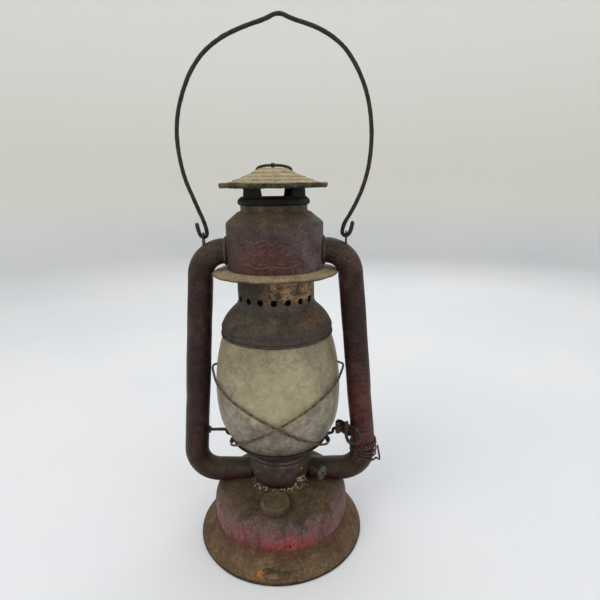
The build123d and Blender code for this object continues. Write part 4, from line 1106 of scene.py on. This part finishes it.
def hood_shape(V):
    V = V.copy()
    r = np.hypot(V[:, 0], V[:, 1])
    th = np.arctan2(V[:, 1], V[:, 0])
    s = (th + math.pi / 2) * 44.9
    near = np.where((np.abs(s) < 32) & (V[:, 2] > 283.5) & (V[:, 2] < 313.5) & (r > 43.5))[0]
    h = np.zeros(len(V))
    for start in range(0, len(near), 4000):
        idx = near[start:start + 4000]
        d2 = (s[idx, None] - STROKES[None, :, 0]) ** 2 + (V[idx, 2, None] - STROKES[None, :, 1]) ** 2
        w = STROKES[None, :, 2]
        h[idx] = np.exp(-((d2 / (w * w)) ** 1.4)).max(1) * 0.95
    # no swelling under the ornament: pad is zero
    pad = 0.0
    k = (h + pad) / np.maximum(r, 1)
    # band lines pressed near the hood's lower edge and below the shoulder
    for z0, dep in ((318.6, -0.12), (283.6, 0.12)):
        k += dep * np.exp(-((V[:, 2] - z0) / 0.7) ** 2) * (r > 43.5) / np.maximum(r, 1)
    k += (0.22 * np.sin(3 * th + 1.1) + 0.14 * np.sin(5 * th + 0.2)) * np.clip((r - 40) / 4, 0, 1) / np.maximum(r, 1)
    V[:, 0] += V[:, 0] * k
    V[:, 1] += V[:, 1] * k
    return V


front = np.linspace(-90 - 42, -90 + 42, 140, endpoint=False)
rest_ = np.linspace(-90 + 42, 270 - 42, 150, endpoint=False)
hood_thetas = np.radians(np.r_[front, rest_])
hood_piece = lathe("hood_shell", hood_prof, ROOT, M["hood_enamel"], ["hood"], thetas=hood_thetas, shape=hood_shape,
                   wob=(0.07, 24.0, 9), dents=[((30.0, -33.0, 312.0), 7.0, (-0.5, 0.5, 0)), ((-36.0, -26.0, 300.0), 8.0, (0.4, 0.3, 0)),
                                               ((10.0, 44.0, 305.0), 9.0, (0, -0.8, 0)), ((24.0, -24.0, 327.0), 6.0, (-0.2, 0.2, -0.5))])

# ------------------------------------------------------------------ rain guard
guard_prof = rounded(
    [(38.4, 280.0), (44.6, 279.9), (50.0, 278.9), (56.8, 276.9), (57.6, 276.2), (58.4, 276.2), (58.7, 276.9),
     (58.5, 277.7), (57.2, 278.3), (50.2, 279.8), (45.6, 280.7), (38.4, 280.7)],
    [0.2, 2.0, 3.0, 0.8, 0.4, 0.4, 0.4, 0.5, 1.0, 3.0, 2.0, 0.2],
)
guard_prof = densify(guard_prof, 1.2)


def guard_shape(V):
    V = V.copy()
    r = np.hypot(V[:, 0], V[:, 1])
    th = np.arctan2(V[:, 1], V[:, 0])
    w = np.clip((r - 46.0) / 12.0, 0, 1)
    V[:, 2] += w * (0.35 * np.sin(3 * th + 0.5) + 0.2 * np.sin(8 * th) + 0.12 * np.sin(19 * th + 1.0))
    V[:, 2] += -0.5 * np.exp(-((th + 2.2) / 0.12) ** 2) * w + 0.35 * np.exp(-((th + 1.2) / 0.09) ** 2) * w
    return V


lathe("rain_guard_shell", guard_prof, ROOT, M["dusty_guard"], ["rain_guard"], n=288, shape=guard_shape, wob=(0.06, 14.0, 12))

# ------------------------------------------------------------------------ bell
HOLES, PER = 18, 12
nt = HOLES * PER
b_th = np.radians(np.arange(nt) * 360.0 / nt + 10.0 - 2 * 360.0 / nt)
cell = 2 * math.pi * 36.3 / nt
hole_rows = [254.0 + (k - 2) * 1.06 for k in range(5)]
neck_rows = [281.6, 279.0, 276.0, 273.0, 270.0, 267.0, 264.0, 261.6, 259.6, 257.9] + hole_rows[::-1] + [250.7]
bell_out = [(36.3, z) for z in neck_rows]
bell_dome = smooth_line([(36.3, 248.4), (37.5, 245.6), (39.6, 243.6), (43.2, 240.2), (47.6, 235.2), (51.0, 229.6), (52.5, 226.0), (53.1, 223.6), (53.2, 220.6)], 1.1)
bell_out += [p for p in bell_dome[1:]]
rim = rounded([(53.2, 220.6), (53.9, 219.6), (54.0, 218.6), (53.5, 217.7), (52.6, 217.6), (52.1, 218.4), (52.3, 223.0), (45.8, 223.1), (45.8, 223.8),
               (51.8, 223.9), (51.9, 225.2)], [0.5, 0.5, 0.5, 0.5, 0.4, 0.5, 0.2, 0.2, 0.2, 0.3, 0.5], 3, closed=False)[1:]
in_dome = inset(bell_dome, 0.8)
bell_in_rows = [(35.5, z) for z in neck_rows[::-1]]
bell_top = rounded([(35.5, 283.0), (35.2, 283.4), (28.5, 283.4), (28.5, 284.2), (35.8, 284.2), (36.3, 283.4)], [0.2, 0.2, 0.2, 0.2, 0.5, 0.4], 3, closed=False)
inner_dome = [p for p in in_dome[::-1] if p[1] > 226.0 and p[0] > 35.55]
bell_prof = bell_out + rim + inner_dome + bell_in_rows + bell_top
V, F, rows = lathe_grid(bell_prof, b_th, closed=True)
o_first = len(neck_rows) - 6                        # outer row at the top of the holes
i_first = len(bell_out) + len(rim) + len(inner_dome) + 1   # inner row at the foot of the holes
drop = set()
extra_faces = []
Fset = {}
for h in range(HOLES):
    cols = [h * PER + c for c in range(5)]
    ang = b_th[h * PER + 2]
    loops = []
    for first, sgn in ((o_first, 1), (i_first, -1)):
        loop = []
        grid = [[rows[first + a][cols[c] % nt] for c in range(5)] for a in range(5)]
        for a in range(4):
            for c in range(4):
                drop.add(frozenset((grid[a][c], grid[a][c + 1], grid[a + 1][c], grid[a + 1][c + 1])))
        ring = grid[0][:] + [grid[a][4] for a in range(1, 5)] + grid[4][3::-1] + [grid[a][0] for a in range(3, 0, -1)]
        if sgn < 0:
            # inner rows run upwards, so this ring is read the other way to match the outer one
            ring = grid[4][:] + [grid[a][4] for a in range(3, -1, -1)] + grid[0][3::-1] + [grid[a][0] for a in range(1, 4)]
        radius = 36.3 if sgn > 0 else 35.5
        for v in ring:
            p = V[v]
            s_ = (math.atan2(p[1], p[0]) - ang + math.pi) % (2 * math.pi) - math.pi
            u, w = s_ * radius, p[2] - 254.0
            L = math.hypot(u, w)
            u, w = u / L * 3.0, w / L * 3.0
            a2 = ang + u / radius
            V[v] = (radius * math.cos(a2), radius * math.sin(a2), 254.0 + w)
            loop.append(v)
        # the middle of the hole has no vertices left in use
        loops.append(loop)
    lo, li = loops
    for q in range(16):
        extra_faces.append((lo[q], lo[(q + 1) % 16], li[(q + 1) % 16], li[q]))
F = [f for f in F if frozenset(f) not in drop] + extra_faces
used = sorted({i for f in F for i in f})
remap = {v: i for i, v in enumerate(used)}
V = V[used]
F = [tuple(remap[i] for i in f) for f in F]
r = np.hypot(V[:, 0], V[:, 1])
th_ = np.arctan2(V[:, 1], V[:, 0])
wv = (0.16 * np.sin(3 * th_ + 0.4) + 0.10 * np.sin(6 * th_ + 1.5)) * np.clip((247.0 - V[:, 2]) / 8.0, 0, 1)
V[:, 0] += V[:, 0] / r * wv * np.clip((V[:, 2] - 217) / 4, 0, 1)
V[:, 1] += V[:, 1] / r * wv * np.clip((V[:, 2] - 217) / 4, 0, 1)
V = uneven(V, (0.08, 18.0, 15), [((26.0, -40.0, 236.0), 6.0, (-0.4, 0.6, -0.3)), ((-30.0, -36.0, 233.0), 7.0, (0.4, 0.5, -0.2)), ((5.0, 36.0, 265.0), 8.0, (0, -0.7, 0))])
o = fix_normals(new_object("bell_shell", V * MM, F, M["bell_tin"]))
finish_piece(o, "chimney", ["bell"])

# ----------------------------------------------------------------- chimney cap
cap_prof = rounded(
    [(0, 370.2), (11.6, 370.2), (13.2, 369.7), (19.8, 366.6), (20.6, 365.7), (28.8, 362.7), (29.6, 361.9), (36.2, 359.9), (37.0, 359.1),
     (42.6, 357.6), (43.2, 356.9), (46.0, 356.6), (47.5, 357.5), (48.9, 356.9), (49.1, 355.0), (48.5, 353.3), (47.0, 352.9), (45.5, 354.5), (43.0, 356.0),
     (36.6, 358.3), (29.2, 361.1), (20.2, 364.9), (12.9, 368.9), (11.4, 369.4), (0, 369.4)],
    [0, 1.0, 1.2, 0.8, 0.9, 0.8, 0.9, 0.8, 0.9, 0.7, 0.8, 0.6, 0.6, 0.8, 0.9, 0.8, 0.6, 0.5, 1.0, 2, 2, 2, 1, 1, 0], closed=False,
)
cap_prof = densify(cap_prof, 0.9, closed=False)


def cap_shape(V):
    V = V.copy()
    r = np.hypot(V[:, 0], V[:, 1])
    th = np.arctan2(V[:, 1], V[:, 0])
    w = np.clip((r - 20.0) / 29.0, 0, 1) ** 1.5
    V[:, 2] += w * (0.45 * np.sin(2 * th + 0.9) + 0.25 * np.sin(5 * th + 0.3) + 0.16 * np.sin(11 * th + 1.0))
    return V


lathe("chimney_cap_shell", cap_prof, "chimney", M["dusty_cap"], ["chimney_cap"], n=224, closed=False, shape=cap_shape, wob=(0.07, 12.0, 17))

# ----------------------------------------------------------------------- globe
globe_out = smooth_line([(38.6, 101.4), (43.6, 105.7), (48.6, 111.7), (53.5, 119.8), (57.8, 130.0), (60.4, 145.0), (61.2, 165.0),
                         (59.4, 185.0), (56.0, 204.0), (52.2, 217.0), (49.6, 222.4)], 1.8)
globe_in = inset(globe_out, 2.2)


def arc_end(a, b, sgn, m=4):
    """Rounded, fire-polished lip between the two faces of the glass."""
    a, b = np.array(a), np.array(b)
    c, r = (a + b) / 2, np.linalg.norm(a - b) / 2
    u = (a - c) / r
    v = np.array([-u[1], u[0]]) * sgn
    return [tuple(c + r * (u * math.cos(t) + v * math.sin(t) * 0.55)) for t in np.linspace(0, math.pi, m + 2)[1:-1]]


globe_prof = globe_out + arc_end(globe_out[-1], globe_in[-1], 1) + globe_in[::-1] + arc_end(globe_in[0], globe_out[0], 1)
lathe("globe_glass_shell", globe_prof, "globe_carriage", M["globe_glass"], ["globe"], n=192, wob=(0.16, 60.0, 21))

# -------------------------------------------------------------------- the bail
bail_points = [
    (-71.6, 0, 322.5), (-70.2, 0, 309.5), (-62.2, 0, 309.5), (-63.4, 0, 320.0),
    (-71.6, 0, 341.0), (-79.5, 0, 361.0), (-83.0, 0, 380.0), (-84.2, 0, 396.0), (-82.6, 0, 414.0),
    (-77.6, 0, 431.0), (-69.4, 0, 449.0), (-57.4, 0, 464.6), (-41.0, 0, 476.2), (-21.0, 0, 484.2),
    (-4.0, 0, 488.8), (7.5, 0, 494.4), (19.0, 0, 489.0), (35.0, 0, 484.4), (50.6, 0, 477.2),
    (64.2, 0, 466.4), (75.4, 0, 449.6), (83.4, 0, 430.0), (87.0, 0, 410.0), (87.8, 0, 390.0),
    (85.8, 0, 370.0), (80.2, 0, 350.0), (72.0, 0, 333.0), (63.2, 0, 319.0), (62.2, 0, 309.5),
    (70.2, 0, 309.5), (72.2, 0, 322.5),
]
wire("bail_wire_bow", bspline(bail_points, 12), 1.85, "bail", M["bail_wire"], ["bail"], sides=18, rough=0.05, seed=31, step=1.2)

# ----------------------------------------------------------------- guard wires
guard_table = [
    (14.0, 50.6, 101.2), (28.0, 51.6, 107.2), (42.0, 53.6, 114.4), (56.0, 57.4, 123.0),
    (70.0, 60.5, 132.4), (84.0, 62.3, 142.8), (98.0, 63.0, 152.0), (112.0, 63.3, 159.6),
    (126.0, 63.4, 166.0), (140.0, 63.4, 171.2), (154.0, 63.3, 175.2), (167.0, 63.2, 178.6),
]
outer_radius = {56.0: 57.7, 70.0: 61.8, 84.0: 64.7, 98.0: 65.4, 112.0: 64.6, 126.0: 63.9}
for side, lifted, name in ((1, False, "guard_wire_inner"), (-1, True, "guard_wire_outer")):
    pts = [(side * 50.0, 0.0, 98.0), (side * 50.0, -6.0, 98.0)]
    for a, rad, z in guard_table:
        q = outer_radius.get(a, rad) if lifted else rad
        pts.append((side * q * math.cos(math.radians(a)), -q * math.sin(math.radians(a)), z))
    back = [(x, -y, z) for x, y, z in pts[1:]][::-1]
    loop = pts + [(-side * 66.0, 0.0, 182.4)] + back
    wire(name + "_loop", bspline(loop, 10, closed=True), 1.1, "globe_carriage", M["guard_wire"], [name], sides=14, closed=True,
         rough=0.035, seed=41 + side, step=0.9)

# ------------------------------------------------------------------ lift crank
crank_points = [
    (-76.5, 0, 111.0), (-55.2, 0, 111.0), (-56.0, 6.2, 103.2), (-52.0, 13.4, 97.0),
    (-41.0, 20.6, 96.6), (-32.0, 31.0, 90.2), (-18.0, 40.4, 83.6), (0, 43.6, 81.2),
    (18.0, 40.4, 83.6), (32.0, 31.0, 90.2), (41.0, 20.6, 96.6), (52.0, 13.4, 97.0),
    (56.0, 6.2, 103.2), (55.2, 0, 111.0), (66.4, 0, 111.0), (71.0, -9.0, 117.0), (76.5, -18.6, 121.0), (81.0, -19.4, 113.0),
    (80.0, -19.4, 107.0), (75.0, -19.4, 104.4), (69.4, -19.4, 106.4), (66.4, -19.4, 115.0),
    (67.6, -19.4, 129.6),
]


def filleted(points, radii, seg=8):
    """Runs and arcs of a formed wire in 3D."""
    out = [np.array(points[0], float)]
    for i in range(1, len(points) - 1):
        a, b, c = (np.array(points[j], float) for j in (i - 1, i, i + 1))
        u, v = a - b, c - b
        lu, lv = np.linalg.norm(u), np.linalg.norm(v)
        u, v = u / lu, v / lv
        half = math.acos(float(np.clip(u @ v, -1, 1))) / 2
        t = min(radii[i - 1] / math.tan(half), 0.49 * lu, 0.49 * lv)
        R = t * math.tan(half)
        m = (u + v) / np.linalg.norm(u + v)
        centre = b + m * R / math.sin(half)
        s, e = b + u * t - centre, b + v * t - centre
        w = math.acos(float(np.clip(s @ e / (R * R), -1, 1)))
        for f in np.linspace(0, 1, seg + 1):
            out.append(centre + (s * math.sin((1 - f) * w) + e * math.sin(f * w)) / math.sin(w))
    out.append(np.array(points[-1], float))
    return np.array(out)


crank_radii = []
for a, b, c in zip(crank_points[:-2], crank_points[1:-1], crank_points[2:]):
    u, v = np.subtract(b, a), np.subtract(c, b)
    lu, lv = np.linalg.norm(u), np.linalg.norm(v)
    turn = math.acos(float(np.clip(u @ v / lu / lv, -1, 1)))
    crank_radii.append(min(30.0, 0.45 * min(lu, lv) / math.tan(turn / 2)))
crank_radii[0] = 2.6
crank_radii[12] = 2.6
crank_radii[13] = 5.0
wire("lift_crank_rod", filleted(crank_points, crank_radii), 1.6, "crank", M["wire"], ["lift_crank"], sides=16, rough=0.045, seed=51, step=0.8)

# ------------------------------------------------------------------- lift ring
tilt = math.radians(14.0)


def ring_point(u, v):
    return (u, 1.0 + v * math.cos(tilt), 372.7 - v * math.sin(tilt))


ring_points = [
    ring_point(0.0, 0), ring_point(6.0, 0), ring_point(12.6, 4.0), ring_point(16.0, 11.0), ring_point(16.2, 18.6), ring_point(12.4, 25.6),
    ring_point(4.6, 29.8), ring_point(-4.6, 29.8), ring_point(-12.4, 25.6), ring_point(-16.2, 18.6), ring_point(-16.0, 11.0),
    ring_point(-12.6, 4.0), ring_point(-6.0, 0),
]
wire("lift_ring_loop", bspline(ring_points, 10, closed=True), 1.3, "finger_ring", M["wire"], ["lift_ring"], sides=14, closed=True,
     rough=0.04, seed=61, step=0.7)

# ----------------------------------------------------------------- repair wire
bend_cx, bend_cz = 89.15 - 25.07, 65.0 + 23.0


def tube_axis(z):
    if z >= 90.0:
        return (89.15 - (z - 65.0) * (89.15 - 69.2) / (296.6 - 65.0), z), (0.9963, 0.0858)
    s = max(-0.95, min(0.0, (z - bend_cz) / 23.0))
    c = math.sqrt(1 - s * s)
    return (bend_cx + 23.0 * c, bend_cz + 23.0 * s), (c, s)


wobble = [0.0, 0.35, 0.1, 0.5, 0.2, 0.0, 0.4, 0.15]
repair_points = [(72.6, -12.4, 83.4), (77.4, -13.6, 86.2)]
for i in range(5 * 8 + 3):
    f = i / 8
    z = 98.2 - 2.3 * f if f < 2.6 else 98.2 - 2.3 * 2.6 - 3.6 * (f - 2.6) - (1.2 if f > 3.1 else 0.0)
    z = max(z, 79.5)
    angle = math.radians(-112 + 360 * f)
    (ax, az), (nx, nz) = tube_axis(z)
    rr = 13.95 + wobble[i % 8]
    lean = 1.1 * math.sin(angle + 0.7 * f)
    repair_points.append((ax + rr * math.cos(angle) * nx - lean * nz, rr * math.sin(angle), az + rr * math.cos(angle) * nz + lean * nx))
repair_points += [(98.6, -10.6, 84.0), (100.6, -17.2, 85.4), (100.8, -21.4, 88.8), (100.2, -18.8, 93.8), (99.6, -11.8, 98.6)]
wire("repair_wire_winding", bspline(repair_points, 8), 0.92, ROOT, M["repair"], ["repair_wire"], sides=10, rough=0.05, seed=71, step=0.6)

# ------------------------------------------------- spring, in its two movements
def coil(name, z0, z1, phase0, body, reps=()):
    turns = (z1 - z0) / 8.2
    m = int(turns * 64)
    pts = [(32.6 * math.cos(phase0 + 2 * math.pi * turns * f), 32.6 * math.sin(phase0 + 2 * math.pi * turns * f), z0 + (z1 - z0) * f)
           for f in np.linspace(0, 1, m + 1)]
    o = wire(name, np.array(pts), 0.8, body, M["spring_steel"], reps, sides=10, rough=0.0, step=1.4)
    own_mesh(o)
    return 2 * math.pi * turns


ph = coil("chimney_spring_lower", 285.4, 312.0, 0.0, "globe_carriage", ["chimney_spring"])
coil("chimney_spring_upper", 312.0, 328.4, ph, ROOT)

# ----------------------------------------------- grit lodged round the collar
rng = random.Random(5)
bits_v, bits_f, bits_m = [], [], []
dome_r = [p[0] for p in dome][::-1]
dome_z = [p[1] for p in dome][::-1]


def crumb(centre, size, kind):
    bm = bmesh.new()
    bmesh.ops.create_icosphere(bm, subdivisions=1, radius=1.0)
    sx, sy, sz = (size * rng.uniform(0.6, 1.3), size * rng.uniform(0.5, 1.1), size * rng.uniform(0.25, 0.7))
    spin = Matrix.Rotation(rng.uniform(0, 6.28), 3, "Z") @ Matrix.Rotation(rng.uniform(-0.5, 0.5), 3, "X")
    base = len(bits_v)
    for v in bm.verts:
        p = Vector((v.co.x * sx, v.co.y * sy, v.co.z * sz)) * rng.uniform(0.8, 1.15)
        bits_v.append(tuple((Vector(centre) + spin @ p) * MM))
    for f in bm.faces:
        bits_f.append(tuple(base + v.index for v in f.verts))
        bits_m.append(kind)
    bm.free()


def on_dome(r, a, size, kind):
    z = float(np.interp(r, dome_r, dome_z)) - 0.55 * math.exp(-((r - 45.0) / 5.5) ** 2)
    crumb((r * math.cos(a), r * math.sin(a), z + size * 0.1), size, kind)


for i in range(250):
    t = rng.random()
    a = math.radians(rng.choice([rng.gauss(-66, 16), rng.gauss(-45, 12), rng.gauss(-128, 12), rng.uniform(-180, 180)]))
    r = 27.6 + abs(rng.gauss(0, 3.2))
    on_dome(r, a, rng.uniform(0.3, 0.85) if t < 0.8 else rng.uniform(0.9, 1.4), rng.choice([0, 0, 0, 1, 2]))
# a lump of old dirt caught between the collar and the wick key
for i in range(150):
    a = math.radians(rng.gauss(-46, 5.0))
    z = 60.5 + abs(rng.gauss(4, 7.5))
    rr_ = float(np.interp(z, [60, 63.4, 68.5, 75.0, 82.0], [27.4, 29.6, 31.4, 32.5, 32.9])) + abs(rng.gauss(0, 0.9))
    crumb((rr_ * math.cos(a), rr_ * math.sin(a), z), rng.uniform(0.5, 1.35), 0 if rng.random() < (0.75 if 64.0 < z < 72.0 else 0.15) else 2)
for i in range(60):
    on_dome(rng.uniform(30, 62), rng.uniform(-math.pi, math.pi), rng.uniform(0.18, 0.4), rng.choice([0, 1, 2, 2]))


def grit(name, light, dark):
    T = Tree(name)
    return T.shade(T.mix(T.span(T.noise(900.0, 5.0, 0.7), 0.35, 0.65), dark, light), 0.9, T.bump(T.noise(2500.0, 3.0), 0.5, 0.0002), 0.0, 0.2)


me = bpy.data.meshes.new("lodged_grit")
me.from_pydata(bits_v, [], bits_f)
for m_ in (grit("grit_pale", (206, 196, 176), (150, 136, 112)), grit("grit_straw", (150, 122, 78), (104, 82, 50)), grit("grit_rust", (104, 66, 46), (62, 42, 32))):
    me.materials.append(m_)
me.polygons.foreach_set("material_index", bits_m)
me.polygons.foreach_set("use_smooth", [True] * len(me.polygons))
me.update()
grit_o = bpy.data.objects.new("lodged_grit", me)
scene.collection.objects.link(grit_o)
finish_piece(grit_o, ROOT, ())

# ------------------------------------------------- finishes of the other nodes
FINISH = {
    "font_bottom": "inner_tin", "filler_neck": "inner_tin", "filler_gasket": "cork", "burner_seat": "inner_tin",
    "burner_body": "burner_brass", "wick_tube": "burner_brass", "wick": "wick_cotton", "wick_spindle": "solder",
    "ratchet_wheels": "burner_brass", "wick_knob": "knob_zinc", "air_strainer": "inner_tin", "burner_cone": "burner_brass",
    "nozzle_rings": "solder", "left_ear": "wire", "right_ear": "wire", "globe_plate": "plate_tin", "crank_bearing": "wire",
    "lever_bracket": "plate_tin", "bracket_rivet": "solder", "pivot_bush": "wire", "flue": "inner_tin", "vent_band": "vent_tin",
    "ring_lug": "wire",
}
for n_, m_ in FINISH.items():
    o = nodes[n_]
    o.data.materials.clear()
    o.data.materials.append(M[m_])

# ------------------------------------------------------------- floor and light


def stage_material():
    T = Tree("studio_floor")
    col = T.mix(T.span(T.noise(2.0, 4.0, 0.5), 0.3, 0.7), (224, 225, 229), (230, 230, 232))
    col = T.mix(T.span(T.z, 0.02, 0.35), col, (238, 236, 228))
    col = T.mix(T.span(T.z, 0.3, 1.6), col, (252, 252, 245))
    return T.shade(col, 0.9, T.bump(T.noise(160.0, 3.0, 0.5), 0.05, 0.0004), 0.0, 0.15)


bowl = rounded([(0, 0.0), (1500.0, 0.0), (2600.0, 0.0), (2600.0, 1100.0), (2600.0, 2600.0)], [0, 0, 900.0, 0, 0], 16, closed=False)
Vb, Fb, _r = lathe_grid([(r, z) for r, z in bowl], np.linspace(0, 2 * math.pi, 96, endpoint=False), closed=False)
floor = new_object("floor", (Vb + np.array([0, 0, -0.05])) * MM, Fb, stage_material())

world = bpy.data.worlds.new("studio")
scene.world = world
world.use_nodes = True
bg = world.node_tree.nodes["Background"]
bg.inputs[0].default_value = (0.93, 0.96, 1.0, 1.0)
bg.inputs[1].default_value = 0.74


def area(name, at, to, size, power, colour=(1, 1, 1)):
    light = bpy.data.lights.new(name, "AREA")
    light.shape = "RECTANGLE"
    light.size, light.size_y = size
    light.energy = power
    light.color = colour
    o = bpy.data.objects.new(name, light)
    o.location = at
    o.rotation_mode = "QUATERNION"
    o.rotation_quaternion = (Vector(to) - Vector(at)).to_track_quat("-Z", "Y")
    scene.collection.objects.link(o)
    return o


area("key", (-0.9, -0.95, 1.35), (0, 0, 0.2), (1.1, 0.9), 8.6, (1.0, 0.98, 0.95))
area("fill", (1.2, -0.7, 0.9), (0, 0, 0.2), (1.0, 1.0), 2.6, (0.96, 0.98, 1.0))
area("top", (0.0, 0.15, 1.7), (0, 0, 0.2), (1.2, 1.2), 5.0)
area("back", (0.4, 1.3, 1.0), (0, 0, 0.25), (1.4, 0.9), 4.0)

# ---------------------------------------------------------------------- camera
cam_data = bpy.data.cameras.new("camera")
cam_data.sensor_fit = "HORIZONTAL"
cam_data.sensor_width = 36.0
cam_data.lens = 442.06 / 600.0 * 36.0
cam_data.clip_start = 0.01
cam_data.clip_end = 50.0
cam = bpy.data.objects.new("camera", cam_data)
yaw, pitch, roll = -0.0059, 0.245, -0.0125
fwd = Vector((math.sin(yaw) * math.cos(pitch), math.cos(yaw) * math.cos(pitch), -math.sin(pitch)))
right = Vector((math.cos(yaw), -math.sin(yaw), 0.0))
upv = right.cross(fwd)
r2 = right * math.cos(roll) + upv * math.sin(roll)
u2 = -right * math.sin(roll) + upv * math.cos(roll)
cam.matrix_world = Matrix((
    (r2.x, u2.x, -fwd.x, 0.0252), (r2.y, u2.y, -fwd.y, -0.4125), (r2.z, u2.z, -fwd.z, 0.3514), (0, 0, 0, 1),
))
scene.collection.objects.link(cam)
scene.camera = cam

bpy.context.view_layer.update()
